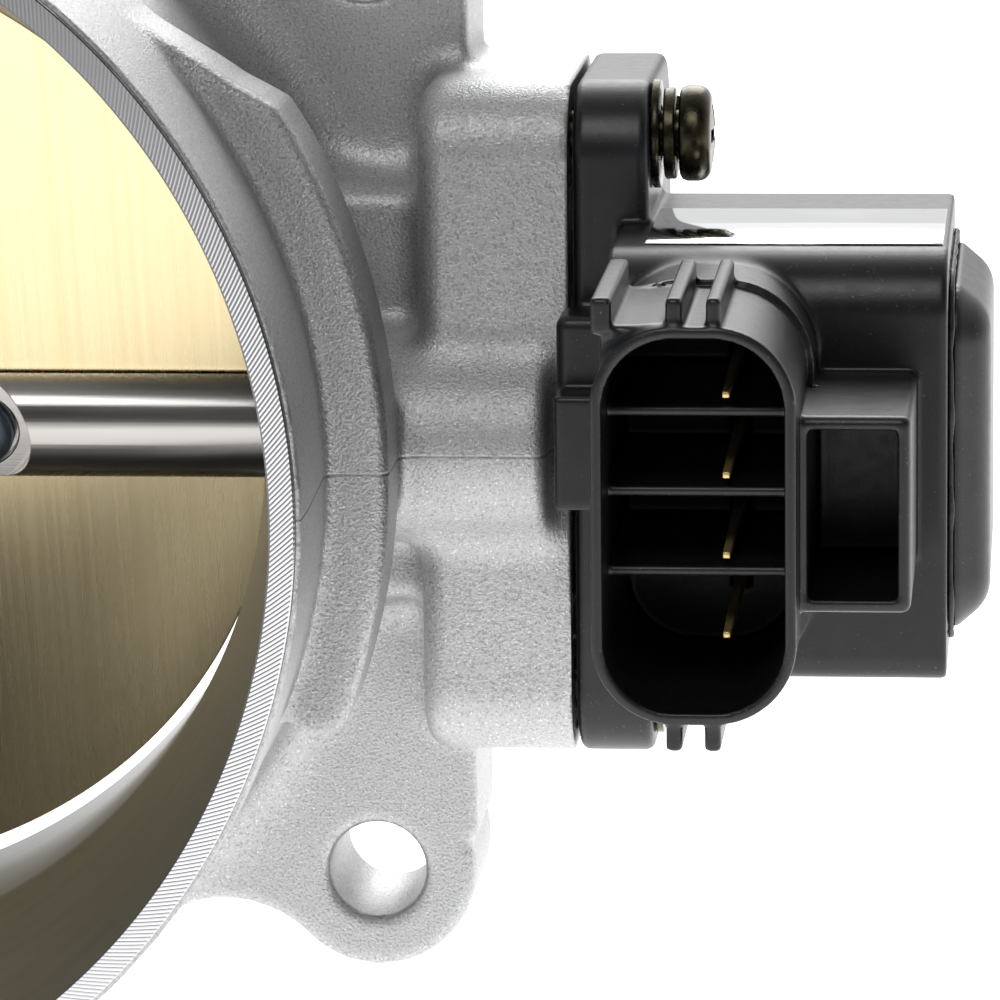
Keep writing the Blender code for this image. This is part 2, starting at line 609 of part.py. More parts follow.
# ---- the cover -------------------------------------------------------------------------------------
def cover_body(mat):
    """Cover frame, motor housing, connector shell, ribs and latch loop in one moulding."""
    plate = prism("gear_cover", [tray_outline()], COVER_START, COVER_ROOF, "X")
    cover = add("gear_cover", bevelled(plate, 0.7))
    y0, y1, z0, z1 = HOUSING
    box = (arc((y1 - 2, z0 + 2), 2, -90, 0, 3) + arc((y1 - 2, z1 - 2), 2, 0, 90, 3)
           + arc((y0 + 4.5, z1 - 4.5), 4.5, 90, 180, 6) + arc((y0 + 2, z0 + 2), 2, 180, 270, 3))
    join(cover, prism("housing", [box], HOUSING_LEFT, HOUSING_END, "X"))
    join(cover, bevelled(block("bulge", (62.5, 68.4), (-17.5, TRAY_FRONT - 0.4), (-5.0, 14.5)), 0.8))
    join(cover, bevelled(block("bridge", (62.9, 69.0), (-21.0, -16.4), (-4.3, 4.3)), 0.4))
    join(cover, prism("collar", [rounded(grown(PLUG_SHELL, 0.5), PLUG_CORNER + 0.5, 6)],
                      COLLAR_FRONT, y0 + 4.0, "Y"))
    join(cover, prism("shell", [rounded(PLUG_SHELL, PLUG_CORNER, 6)], PLUG_FRONT, y0 + 2.0, "Y"))
    cut(cover, prism("socket", [rounded(grown(PLUG_SHELL, -PLUG_WALL), PLUG_CORNER - PLUG_WALL, 6)],
                     PLUG_FRONT - 2, PLUG_FLOOR, "Y"))
    x0, x1, low, high = PLUG_SHELL
    depth = (PLUG_FRONT + 5, PLUG_FLOOR + 1)
    for index, height in enumerate(PIN_HEIGHTS[:3]):
        join(cover, block("divider_%d" % index, (x0 + 0.4, x1 - 0.4), depth, (height - 1.6, height - 0.9)))
    depth = (PLUG_FRONT + 0.3, COLLAR_FRONT + 1)
    for index, across in enumerate(RIBS):
        join(cover, block("rib_%d" % index, across, depth, (high - 1.6, high + 1.9)))
    for index, across in enumerate(KEELS):
        join(cover, block("keel_%d" % index, across, depth, (low - 1.9, low + 0.5)))
    join(cover, bevelled(block("latch", (x1 - 0.4, 89.2), (-45.0, y0 + 1), (-5.1, 8.4)), 0.5))
    cut(cover, block("latch_inside", (x1 + 0.5, 88.3), (-46.0, y0 - 0.6), (-4.2, 7.5)))
    cut(cover, rod("motor_well", MOTOR_RADIUS + GAP, 69.8, HOUSING_END + 2, "X", MOTOR, 28))
    cut(cover, rod("motor_nose", 3.8, 66.0, 71.0, "X", MOTOR, 24))
    cut(cover, prism("cover_inside", [tray_inside()], COVER_START - 2, COVER_ROOF - 1.5, "X"))
    posts(cover, COVER_START, COVER_ROOF - 0.7)
    cut(cover, prism("gasket_seat", [tray_inside(0.9)], COVER_START - 2, COVER_START + 0.9, "X"))
    for index, at in enumerate(SCREWS):
        cut(cover, rod("cover_hole_%d" % index, 2.3, COVER_START - 2, COVER_ROOF + 2, "X", at, 20))
    depth = (PLUG_FLOOR - 1, PLUG_FLOOR + 3)
    across = (PIN_X - 0.5, PIN_X + 0.5)
    for index, height in enumerate(PIN_HEIGHTS):
        cut(cover, block("pin_slot_%d" % index, across, depth, (height - 0.7, height + 0.7)))
    return finish(cover, mat)


def cover_fittings(plastic, rubber, zinc, gold, paper, green, chip):
    """The pieces fixed to the cover."""
    loop = [tray_inside(0.7), tray_inside(0.1)]
    gasket = prism("cover_gasket", loop, COVER_START - 0.1, COVER_START + 0.7, "X")
    finish(add("cover_gasket", gasket), rubber)
    lid = bevelled(prism("cover_lid", [rounded(LID, 4.0, 4)], HOUSING_END + 0.3, LID_FACE, "X"), 1.2)
    finish(add("cover_lid", lid), plastic)
    loop = [rounded(grown(LID, 1.2), 5.2, 4), rounded(grown(LID, 0.4), 4.4, 4)]
    bead = prism("lid_sealant", loop, HOUSING_END + 0.1, HOUSING_END + 0.5, "X")
    finish(add("lid_sealant", bead), rubber)
    for index, height in enumerate(PIN_HEIGHTS):
        name = "terminal_%d" % (index + 1)
        depth = (PIN_TIP, PLUG_FLOOR + 2.4)
        pin = block(name, (PIN_X - 0.32, PIN_X + 0.32), depth, (height - 0.4, height + 0.4))
        finish(add(name, bevelled(pin, 0.15, 1)), gold)
    top = HOUSING[3]
    across = (COVER_ROOF + 0.4, HOUSING_END - 0.4)
    label = block("blank_label", across, (LABEL_FRONT, LABEL_REAR), (top + 0.03, top + 0.15))
    finish(add("blank_label", label), paper)
    board = block("sensor_board", (65.9, 67.3), (-3.5, 9.5), (-14.0, 2.6))
    finish(add("sensor_board", board), green)
    finish(add("sensor_chip", block("sensor_chip", (64.5, 65.6), (-2.2, 2.2), (-2.6, 2.2))), chip)

    head = [(0.0, 73.9), (2.2, 73.7), (3.2, 73.2), (3.5, 72.4), (3.5, 71.5), (1.7, 71.5),
            (1.7, 57.0), (0.0, 57.0)]
    spring = ring(3.35, 2.1, 70.35, 71.25)
    flat = ring(4.0, 2.1, 69.5, 70.15)
    for name, profile in (("cover_screw", head), ("spring_washer", spring), ("flat_washer", flat)):
        for index, at in enumerate(SCREWS):
            finish(turned("%s_%d" % (name, index + 1), profile, "X", at, 18), zinc)


def build():
    """Every piece in turn."""
    start()
    alloy = look("cast_aluminium", (0.50, 0.50, 0.51), 0.55, 0.8)
    steel = look("ground_steel", (0.55, 0.54, 0.52), 0.28, 1.0)
    brass = look("brushed_brass", (0.83, 0.70, 0.40), 0.32, 1.0)
    zinc = look("zinc_plated_steel", (0.38, 0.36, 0.27), 0.38, 0.9)
    nylon = look("gear_nylon", (0.72, 0.69, 0.60), 0.5, 0.0)
    plastic = look("black_plastic", (0.035, 0.037, 0.040), 0.5, 0.0)
    rubber = look("black_rubber", (0.02, 0.02, 0.02), 0.75, 0.0)
    magnet = look("sintered_magnet", (0.12, 0.12, 0.13), 0.5, 0.6)
    copper = look("copper", (0.62, 0.30, 0.15), 0.35, 1.0)
    iron = look("lamination_iron", (0.22, 0.22, 0.23), 0.5, 0.9)
    gold = look("tinned_gold", (0.80, 0.62, 0.28), 0.3, 1.0)
    paper = look("label_film", (0.85, 0.86, 0.87), 0.2, 0.0)
    green = look("circuit_board", (0.03, 0.16, 0.07), 0.5, 0.0)
    carbon = look("carbon", (0.03, 0.03, 0.03), 0.7, 0.0)
    chip = look("chip_resin", (0.03, 0.03, 0.03), 0.5, 0.0)
    casting_body(alloy)
    throttle_pieces(steel, brass, zinc, nylon, magnet)
    shaft_supports(steel, rubber, zinc)
    idler_pieces(nylon, steel)
    motor_pieces(steel, copper, iron, brass, plastic, magnet, carbon)
    spring_piece(steel)
    cover_body(plastic)
    cover_fittings(plastic, rubber, zinc, gold, paper, green, chip)


build()
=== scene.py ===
"""The throttle body's looks: fine geometry, procedural materials, studio and camera."""
import json
import math

import bmesh
import bpy
import numpy as np
from mathutils import Matrix, Vector


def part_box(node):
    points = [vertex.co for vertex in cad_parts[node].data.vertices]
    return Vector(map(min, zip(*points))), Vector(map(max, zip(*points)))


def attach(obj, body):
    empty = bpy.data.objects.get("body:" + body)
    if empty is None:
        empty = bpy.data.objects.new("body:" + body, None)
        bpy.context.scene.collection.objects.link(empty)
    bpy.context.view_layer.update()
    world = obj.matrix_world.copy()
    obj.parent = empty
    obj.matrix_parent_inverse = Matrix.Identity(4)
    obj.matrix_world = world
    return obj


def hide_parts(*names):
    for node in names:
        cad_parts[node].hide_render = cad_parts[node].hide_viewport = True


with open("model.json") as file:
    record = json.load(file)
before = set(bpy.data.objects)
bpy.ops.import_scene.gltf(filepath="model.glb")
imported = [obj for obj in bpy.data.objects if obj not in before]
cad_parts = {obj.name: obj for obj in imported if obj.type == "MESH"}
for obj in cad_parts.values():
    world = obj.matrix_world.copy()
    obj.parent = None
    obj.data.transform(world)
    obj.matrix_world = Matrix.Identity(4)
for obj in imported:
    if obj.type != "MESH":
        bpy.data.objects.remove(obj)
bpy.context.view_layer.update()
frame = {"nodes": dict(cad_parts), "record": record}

# ---- sizes: X along the shaft, Y along the bore, Z up, in millimetres from where the two cross ---
MM = 0.001
JOINTS = {joint["name"]: joint for joint in frame["record"]["behaviour"]["joints"]}
CENTRE = Vector(JOINTS["throttle_hinge"]["pos_m"])


def local_box(node):
    """A CAD node's (low, high) corners in millimetres from the bore centre."""
    low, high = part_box(node)
    return (low - CENTRE) / MM, (high - CENTRE) / MM


CAST_LOW, CAST_HIGH = local_box("throttle_casting")
COVER_LOW, COVER_HIGH = local_box("gear_cover")
SHAFT_LOW, SHAFT_HIGH = local_box("throttle_shaft")
LID_LOW, LID_HIGH = local_box("cover_lid")
LABEL_LOW, LABEL_HIGH = local_box("blank_label")
HEAD_LOW, HEAD_HIGH = local_box("blade_screw_right")
WASHERS = [local_box(name) for name in sorted(frame["nodes"]) if name.startswith("flat_washer")]
TERMINALS = [local_box("terminal_%d" % i) for i in (1, 2, 3, 4)]

BEYOND = 100.0      # past the end of every piece

# duct, flange and its bolt ears; TUBE_OUTSIDE and SKIN_INSIDE are (y, radius) points
RIM_Y = CAST_LOW.y
RIM_RADIUS = 45.0
RIM_OUTER = 46.8
BORE_RADIUS = 40.6
BORE_CHAMFER = 0.6
THROAT_END = -7.8
FLANGE_REAR = CAST_HIGH.y
FLANGE_FRONT = FLANGE_REAR - 14.0
FLANGE_RADIUS = CAST_HIGH.z
FLANGE_SIDE = 55.2
FLANGE_TOP = 33.0
SEAL_INNER = 42.4
SEAL_OUTER = 44.6
SEAL_DEPTH = 2.2
BOLT = (47.5, 35.2)
BOLT_HOLE = 3.7
BOLT_CHAMFER = 0.4
EAR_RADIUS = 7.5
EAR_FILLET = 9.4
TUBE_OUTSIDE = ((RIM_Y, 47.15), (-36.0, 47.2), (-25.0, 46.9), (0.0, 46.9))
SKIN_INSIDE = ((RIM_Y, 45.9), (-28.0, 44.3), (-8.0, 43.5), (FLANGE_REAR - 3.0, 43.5),
               (FLANGE_REAR - 2.4, SEAL_OUTER))
PARTING_Z = 0.1

# hose lip: y, radii, and (degrees above the shaft, radius) points along its crest
LIP_FRONT = -23.5
LIP_BACK = -15.3
LIP_INSIDE = 45.0
LIP_OUTER = 51.4
LIP_CORNER = 2.1
LIP_END = -22.6
LIP_CREST = ((-90.0, LIP_OUTER), (28.0, LIP_OUTER), (31.0, 51.3), (34.5, 49.6), (39.0, 48.2), (45.0, 46.6))
MM_PER_DEGREE = 0.87

# shaft bosses, the web beside the right one and the hump over it
BOSS_RADIUS = 8.4
BOSS_START = 42.0
BOSS_END = 54.0
LEFT_BOSS_RADIUS = 8.6
LEFT_BOSS_END = -58.0
WEB = ((40.0, -5.0, -13.0), (54.0, 9.0, 18.0))
HUMP_START = 40.0
HUMP_END = 62.1
HUMP_DEPTH = 8.2
HUMP_HEIGHT = 7.6
BEARING_RADIUS = 6.4
BEARING_START = 43.6

# gear tray; TRAY is its outline as y and z limits
TRAY_LEFT = 52.4
TRAY_FLOOR = 54.4
TRAY_END = 63.5
TRAY_FRONT = -12.0
TRAY_TOP = COVER_HIGH.z
TRAY_BOTTOM = COVER_LOW.z
TRAY_CORNER = 5.3
WALL = 1.8
TRAY = (TRAY_FRONT, FLANGE_REAR, TRAY_BOTTOM, TRAY_TOP)

# shaft and blade
SHAFT_RADIUS = 4.55
CLEARANCE = 0.3
BLADE_RADIUS = 40.25
BLADE_HALF = 1.0
REST_ANGLE = math.radians(17.6)
CLOSED_ANGLE = math.radians(6.0)
SCREW_X = (HEAD_LOW.x + HEAD_HIGH.x) / 2
HEAD_RADIUS = (HEAD_HIGH.x - HEAD_LOW.x) / 2
HEAD_SEAT = 1.75
SPOT_RADIUS = 4.3
SPOT_DEPTH = 2.4
BLADE_THREAD = 1.75

# cover: frame, motor housing (y and z limits) and the block over the shaft's end (low and high corners)
COVER_START = 63.9
COVER_ROOF = 69.4
HOUSING_LEFT = 67.4
HOUSING_END = COVER_HIGH.x
HOUSING = (-27.0, 5.0, -13.9, 16.6)
HOUSING_CORNER = 4.5
SHAFT_COVER = ((63.0, -17.5, -2.9), (68.4, TRAY_FRONT - 0.4, 10.6))
SHAFT_COVER_FRONT = ((63.1, -21.0, -2.9), (69.0, -16.4, 5.4))
MOTOR_WELL = 9.9
MOTOR_WELL_START = 69.8
MOTOR_NECK = 3.8

# connector: shell (x and z limits), socket, collar, ribs (x limits) and latch loop
SHELL = (67.9, 81.7, -11.8, 15.3)
SHELL_WALL = 0.8
SHELL_CORNER = 5.6
SHELL_STEP = 0.5
SHELL_FRONT = COVER_LOW.y
SOCKET_FLOOR = -26.0
TERMINAL_SLOT = (76.2, 77.4)
COLLAR_FRONT = -33.3
RIBS = ((68.0, 69.4), (73.0, 74.1), (75.7, 76.7))
KEELS = ((72.9, 74.0), (75.5, 76.6))
RIB_HEIGHT = 1.9
LATCH_FRONT = -45.0
LATCH_RIGHT = 89.2
LATCH_HEIGHTS = (-5.1, 8.4)
LATCH_WALL = 0.9

# cover screws and washers, along X
SCREWS = [((low.y + high.y) / 2, (low.z + high.z) / 2) for low, high in WASHERS]
POST_RADIUS = 3.2
CAST_HOLE = 2.0
COVER_HOLE = 2.3
SCREW_TIP = 57.0
SCREW_HEAD = (71.45, 73.95)
SCREW_HEAD_RADIUS = 3.5
SCREW_THREAD = 1.7
WASHER_START = 69.5
WASHER_RADIUS = 4.0
SPRING_START = 70.25
SPRING_RADIUS = 3.35

# camera: offset in millimetres, yaw, pitch and roll in degrees; lights: offset, side (m), power (W)
CAMERA_OFFSET = (98.47, -441.46, 80.56)
CAMERA_ANGLES = (5.336, 11.079, -0.657)
CAMERA_LENS = 215.8
CAMERA_SENSOR = 36.0
LIGHTS = {
    "fill_light": ((-0.50, -0.55, 0.15), 0.35, 0.25),
    "back_light": ((0.05, 0.55, 0.45), 0.5, 2.8),
    "front_light": ((0.0, -0.50, 0.52), 0.30, 1.2),
}

# floor: y where its glow starts and is full (m), and its strength
# room: strength rises with the Y part of a direction, as (from, to, strength from, strength to)
GLOW_FADE = (-0.48, -0.24)
GLOW = 1.15
ROOM = (-0.25, 0.55, 0.07, 0.95)

# grid steps of the distance fields
CAST_STEP = 0.42
COVER_STEP = 0.22


# ---- distance fields -----------------------------------------------------------------------------
class Field:
    """A grid of signed distances in millimetres, negative inside, shaped by the calls below."""

    def __init__(self, low, high, step):
        self.low, self.step = np.array(low, np.float32), step
        counts = [int(math.ceil((b - a) / step)) + 1 for a, b in zip(low, high)]
        axes = [np.float32(a) + np.float32(step) * np.arange(n, dtype=np.float32)
                for a, n in zip(low, counts)]
        self.x = axes[0][:, None, None]
        self.y = axes[1][None, :, None]
        self.z = axes[2][None, None, :]
        self.value = np.full(counts, 1e3, np.float32)

    def add(self, distance, blend=0.0):
        """Union, with a fillet of about the blend radius."""
        if blend:
            self.value = smooth_min(self.value, distance, blend)
        else:
            self.value = np.minimum(self.value, distance)

    def cut(self, distance):
        """Takes a shape away."""
        self.value = np.maximum(self.value, -distance)

    def mesh(self, name):
        """The zero surface as quads: one vertex in each cell that the surface crosses."""
        field = self.value
        strides = np.array([field.shape[1] * field.shape[2], field.shape[2], 1])
        cells, points = [], []
        for axis in range(3):
            u, v = (axis + 1) % 3, (axis + 2) % 3
            low, high = [slice(None)] * 3, [slice(None)] * 3
            low[axis], high[axis] = slice(0, -1), slice(1, None)
            a, b = field[tuple(low)], field[tuple(high)]
            where = np.argwhere((a < 0) != (b < 0))
            where = where[(where[:, u] > 0) & (where[:, v] > 0)]
            start, end = a[tuple(where.T)], b[tuple(where.T)]
            crossing = where.astype(np.float64)
            crossing[:, axis] += start / (start - end)
            around = []
            for du, dv in ((0, 0), (-1, 0), (-1, -1), (0, -1)):
                cell = where.copy()
                cell[:, u] += du
                cell[:, v] += dv
                around.append(cell @ strides)
            around = np.stack(around, 1)
            outward = start > 0
            around[outward] = around[outward][:, ::-1]
            points.append(np.repeat(crossing, 4, axis=0))
            cells.append(around.reshape(-1))
        cells, points = np.concatenate(cells), np.concatenate(points)
        index = np.unique(cells, return_inverse=True)[1]
        count = np.bincount(index)
        place = np.stack([np.bincount(index, points[:, k]) / count for k in range(3)], 1)
        place = place * self.step + self.low
        mesh = bpy.data.meshes.new(name)
        mesh.from_pydata((place * MM).tolist(), [], index.reshape(-1, 4).tolist())
        mesh.shade_smooth()
        return mesh


def box_field(f, low, high, radius=0.0):
    """A box with rounded edges."""
    middle = [(a + b) / 2 for a, b in zip(low, high)]
    half = [(b - a) / 2 - radius for a, b in zip(low, high)]
    d = [np.abs(axis - m) - h for axis, m, h in zip((f.x, f.y, f.z), middle, half)]
    outside = np.sqrt(sum(np.maximum(part, 0.0) ** 2 for part in d))
    inside = np.minimum(np.maximum(np.maximum(d[0], d[1]), d[2]), 0.0)
    return outside + inside - radius


def corner_distance(u, v, radius):
    """Distance to a rounded corner, from the distances to its two sides, each moved in by the radius."""
    return np.hypot(np.maximum(u, 0), np.maximum(v, 0)) + np.minimum(np.maximum(u, v), 0) - radius


def rounded_flat(u, v, box, radius):
    """Distance in a plane to a rectangle with rounded corners."""
    u0, u1, v0, v1 = box
    du = np.abs(u - (u0 + u1) / 2) - (u1 - u0) / 2 + radius
    dv = np.abs(v - (v0 + v1) / 2) - (v1 - v0) / 2 + radius
    return corner_distance(du, dv, radius)


def slab(flat, axis, low, high, radius=0.0):
    """A flat distance made solid between two positions, with rounded rims."""
    along = np.abs(axis - (low + high) / 2) - (high - low) / 2 + radius
    return corner_distance(flat + radius, along, radius)


def rod_field(f, at, radius, low, high, edge=0.0):
    """A cylinder along X, through at = (y, z)."""
    return slab(np.hypot(f.y - at[0], f.z - at[1]) - radius, f.x, low, high, edge)


def smooth_min(a, b, blend):
    """The lower of two distances, with a fillet between them."""
    overlap = np.maximum(blend - np.abs(a - b), 0.0) / blend
    return np.minimum(a, b) - overlap * overlap * (blend / 4)


def along_curve(place, points):
    """The value at each place on a curve of (place, value) points joined by straight lines."""
    return np.interp(place, *zip(*points)).astype(np.float32)


def side_of(u, v, start, end):
    """Signed distance from the line through start and end, positive on its right."""
    du, dv = end[0] - start[0], end[1] - start[1]
    return ((u - start[0]) * dv - (v - start[1]) * du) / math.hypot(du, dv)


def grown(box, amount):
    """A rectangle made larger on every side."""
    u0, u1, v0, v1 = box
    return (u0 - amount, u1 + amount, v0 - amount, v1 + amount)


# ---- pieces and meshes ---------------------------------------------------------------------------
def piece(name, mesh, body, slot, material, *nodes):
    """A finished piece, its mesh drawn from the bore centre, in place of CAD nodes."""
    item = bpy.data.objects.new(name, mesh)
    bpy.context.scene.collection.objects.link(item)
    item.location = CENTRE
    mesh.materials.clear()
    mesh.materials.append(material)
    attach(item, body)
    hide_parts(*nodes)


def lathe(name, profile, axis, at=(0.0, 0.0, 0.0), steps=96, sharp=30):
    """A closed (radius, height) profile turned about an axis through a point."""
    work = bmesh.new()
    verts = [work.verts.new((r * MM, 0.0, h * MM)) for r, h in profile]
    edges = [work.edges.new((verts[i], verts[(i + 1) % len(verts)])) for i in range(len(verts))]
    bmesh.ops.spin(work, geom=verts + edges, cent=(0, 0, 0), axis=(0, 0, 1), angle=2 * math.pi,
                   steps=steps, use_merge=True)
    bmesh.ops.remove_doubles(work, verts=work.verts, dist=1e-7)
    loose = [face for face in work.faces if face.calc_area() < 1e-14]
    bmesh.ops.delete(work, geom=loose, context="FACES")
    bmesh.ops.recalc_face_normals(work, faces=work.faces)
    turn = Matrix.Rotation(math.pi / 2, 4, "Y") if axis == "X" else Matrix.Rotation(-math.pi / 2, 4, "X")
    place = Matrix.Translation([v * MM for v in at]) @ turn
    bmesh.ops.transform(work, matrix=place, verts=work.verts)
    mesh = bpy.data.meshes.new(name)
    work.to_mesh(mesh)
    work.free()
    mesh.shade_smooth()
    mesh.set_sharp_from_angle(angle=math.radians(sharp))
    return mesh


def rounded_block(name, low, high, radius, segments=3):
    """A box with bevelled edges."""
    work = bmesh.new()
    bmesh.ops.create_cube(work, size=1.0)
    size = [(b - a) * MM for a, b in zip(low, high)]
    middle = [(a + b) / 2 * MM for a, b in zip(low, high)]
    place = Matrix.Translation(middle) @ Matrix.Diagonal((*size, 1.0))
    bmesh.ops.transform(work, matrix=place, verts=work.verts)
    bmesh.ops.bevel(work, geom=work.edges[:], offset=radius * MM, segments=segments, profile=0.5,
                    affect="EDGES")
    mesh = bpy.data.meshes.new(name)
    work.to_mesh(mesh)
    work.free()
    mesh.shade_smooth()
    return mesh


def rod_mesh(name, radius, low, high, segments=48):
    """A cylinder along X."""
    low, high = sorted((low, high))
    return lathe(name, [(radius, high), (radius, low), (0.0, low), (0.0, high)], "X", steps=segments)


def cross_tools(axis, at, span, arm, half, edge):
    """Two crossed bars over a span of a screw's axis, to cut its recess."""
    tools = []
    for a, b in ((arm, half), (half, arm)):
        if axis == "X":
            low, high = (span[0], at[1] - a, at[2] - b), (span[1], at[1] + a, at[2] + b)
        else:
            low, high = (at[0] - a, span[0], at[2] - b), (at[0] + a, span[1], at[2] + b)
        tools.append(rounded_block("bar", low, high, edge, 1))
    return tools


def joined(name, meshes):
    """Several meshes as one."""
    work = bmesh.new()
    for mesh in meshes:
        work.from_mesh(mesh)
    result = bpy.data.meshes.new(name)
    work.to_mesh(result)
    work.free()
    return result


def cut_with(mesh, tools):
    """A mesh with other meshes taken away."""
    item = bpy.data.objects.new(mesh.name, mesh)
    bpy.context.scene.collection.objects.link(item)
    helpers = []
    for tool in tools:
        helper = bpy.data.objects.new("tool", tool)
        bpy.context.scene.collection.objects.link(helper)
        step = item.modifiers.new("cut", "BOOLEAN")
        step.operation = "DIFFERENCE"
        step.object = helper
        helpers.append(helper)
    bpy.context.view_layer.update()
    source = item.evaluated_get(bpy.context.evaluated_depsgraph_get())
    result = bpy.data.meshes.new_from_object(source)
    for helper in helpers + [item]:
        bpy.data.objects.remove(helper, do_unlink=True)
    result.shade_smooth()
    result.set_sharp_from_angle(angle=math.radians(32))
    return result


# ---- materials -----------------------------------------------------------------------------------
class Look:
    """A Principled material built up from procedural layers in object space."""

    def __init__(self, name, colour, roughness, metallic):
        self.material = bpy.data.materials.new(name)
        self.material.use_nodes = True
        self.tree = self.material.node_tree
        self.shader = self.tree.nodes["Principled BSDF"]
        self.colour = self.rgb(colour)
        self.roughness = self.number(roughness)
        self.shader.inputs["Metallic"].default_value = metallic
        self.place = self.node("ShaderNodeTexCoord").outputs["Object"]
        self.height = None
        self.link(self.colour, self.shader.inputs["Base Color"])
        self.link(self.roughness, self.shader.inputs["Roughness"])

    def node(self, kind, **settings):
        """A node with its settings."""
        item = self.tree.nodes.new(kind)
        for key, value in settings.items():
            setattr(item, key, value)
        return item

    def link(self, source, target):
        """Wires two sockets."""
        self.tree.links.new(source, target)

    def rgb(self, colour):
        """A constant colour."""
        item = self.node("ShaderNodeRGB")
        item.outputs[0].default_value = (*colour, 1.0)
        return item.outputs[0]

    def number(self, value):
        """A constant number."""
        item = self.node("ShaderNodeValue")
        item.outputs[0].default_value = value
        return item.outputs[0]

    def math(self, operation, *values):
        """A sum, product or other function of sockets and numbers."""
        item = self.node("ShaderNodeMath", operation=operation)
        for socket, value in zip(item.inputs, values):
            if isinstance(value, (int, float)):
                socket.default_value = value
            else:
                self.link(value, socket)
        return item.outputs[0]

    def noise(self, size, stretch=(1.0, 1.0, 1.0), detail=2.0, rough=0.5):
        """Noise with features of about size millimetres, stretched along the axes."""
        mapping = self.node("ShaderNodeMapping")
        mapping.inputs["Scale"].default_value = [1.0 / (size * MM * s) for s in stretch]
        self.link(self.place, mapping.inputs["Vector"])
        item = self.node("ShaderNodeTexNoise")
        item.inputs["Scale"].default_value = 1.0
        item.inputs["Detail"].default_value = detail
        item.inputs["Roughness"].default_value = rough
        self.link(mapping.outputs["Vector"], item.inputs["Vector"])
        return item.outputs["Fac"]

    def ramp(self, value, low, high):
        """A value between low and high stretched to 0..1."""
        item = self.node("ShaderNodeMapRange")
        item.inputs["From Min"].default_value = low
        item.inputs["From Max"].default_value = high
        self.link(value, item.inputs["Value"])
        return item.outputs["Result"]

    def tint(self, factor, colour):
        """Mixes the colour toward another."""
        item = self.node("ShaderNodeMix", data_type="RGBA")
        self.link(factor, item.inputs["Factor"])
        self.link(self.colour, item.inputs["A"])
        item.inputs["B"].default_value = (*colour, 1.0)
        self.colour = item.outputs["Result"]
        self.link(self.colour, self.shader.inputs["Base Color"])

    def shine(self, value, amount):
        """Adds a varying amount to the roughness."""
        change = self.math("MULTIPLY", self.math("SUBTRACT", value, 0.5), amount)
        self.roughness = self.math("ADD", self.roughness, change)
        self.link(self.roughness, self.shader.inputs["Roughness"])

    def bump(self, value, depth):
        """Raises the surface by value times depth millimetres."""
        raised = self.math("MULTIPLY", value, depth * MM)
        self.height = raised if self.height is None else self.math("ADD", self.height, raised)

    def done(self, edge=0.0):
        """Wires the bump, over edges rounded by edge millimetres."""
        normal = None
        if edge:
            bevel = self.node("ShaderNodeBevel", samples=4)
            bevel.inputs["Radius"].default_value = edge * MM
            normal = bevel.outputs["Normal"]
        if self.height is not None:
            item = self.node("ShaderNodeBump")
            item.inputs["Distance"].default_value = 1.0
            item.inputs["Strength"].default_value = 1.0
            self.link(self.height, item.inputs["Height"])
            if normal:
                self.link(normal, item.inputs["Normal"])
            normal = item.outputs["Normal"]
        if normal:
            self.link(normal, self.shader.inputs["Normal"])
        return self.material


def cast_look(name="cast_aluminium_grain", grain=0.22, depth=0.07, colour=0.54, pits=0.34):
    """Blasted cast aluminium: sand grains over soft waves."""
    look = Look(name, (colour, colour, colour * 1.01), 0.48, 0.85)
    look.bump(look.noise(grain, detail=2.0, rough=0.6), depth)
    look.bump(look.noise(7.0), 0.10)
    look.tint(look.ramp(look.noise(grain, detail=1.0), 0.50, 0.75), (colour * (1.0 - pits),) * 3)
    look.tint(look.ramp(look.noise(grain * 0.8, detail=1.0), 0.62, 0.72), (min(colour * 1.45, 0.9),) * 3)
    look.shine(look.noise(grain * 3), 0.2)
    split = look.node("ShaderNodeSeparateXYZ")
    look.link(look.place, split.inputs[0])
    offset = look.math("ABSOLUTE", look.math("SUBTRACT", split.outputs["Z"], PARTING_Z * MM))
    line = look.ramp(offset, 0.16 * MM, 0.04 * MM)
    look.tint(look.math("MULTIPLY", line, 0.6), (colour * 0.35,) * 3)
    look.bump(line, -0.06)
    return look.done()


def machined_look():
    """Turned aluminium with fine feed lines."""
    look = Look("machined_aluminium", (0.23, 0.235, 0.235), 0.34, 0.8)
    look.bump(look.noise(0.22, (40.0, 1.0, 40.0), 1.0), 0.003)
    look.tint(look.ramp(look.noise(9.0, (1.0, 0.2, 1.0)), 0.3, 0.7), (0.19, 0.195, 0.195))
    return look.done()


def rim_look():
    """The duct's mouth: slanted mill lines on bright aluminium."""
    look = Look("milled_rim", (0.70, 0.70, 0.72), 0.14, 1.0)
    split = look.node("ShaderNodeSeparateXYZ")
    look.link(look.place, split.inputs[0])
    turn = look.math("ARCTAN2", split.outputs["Z"], split.outputs["X"])
    radius = look.math("SQRT", look.math("ADD", look.math("POWER", split.outputs["X"], 2.0),
                                         look.math("POWER", split.outputs["Z"], 2.0)))
    along = look.math("MULTIPLY", turn, RIM_RADIUS * MM)
    phase = look.math("ADD", along, look.math("MULTIPLY", radius, -0.9))
    line = look.math("SINE", look.math("MULTIPLY", phase, 2 * math.pi / (0.36 * MM)))
    look.bump(line, 0.006)
    look.tint(look.ramp(line, 0.0, 1.0), (0.50, 0.50, 0.51))
    return look.done()


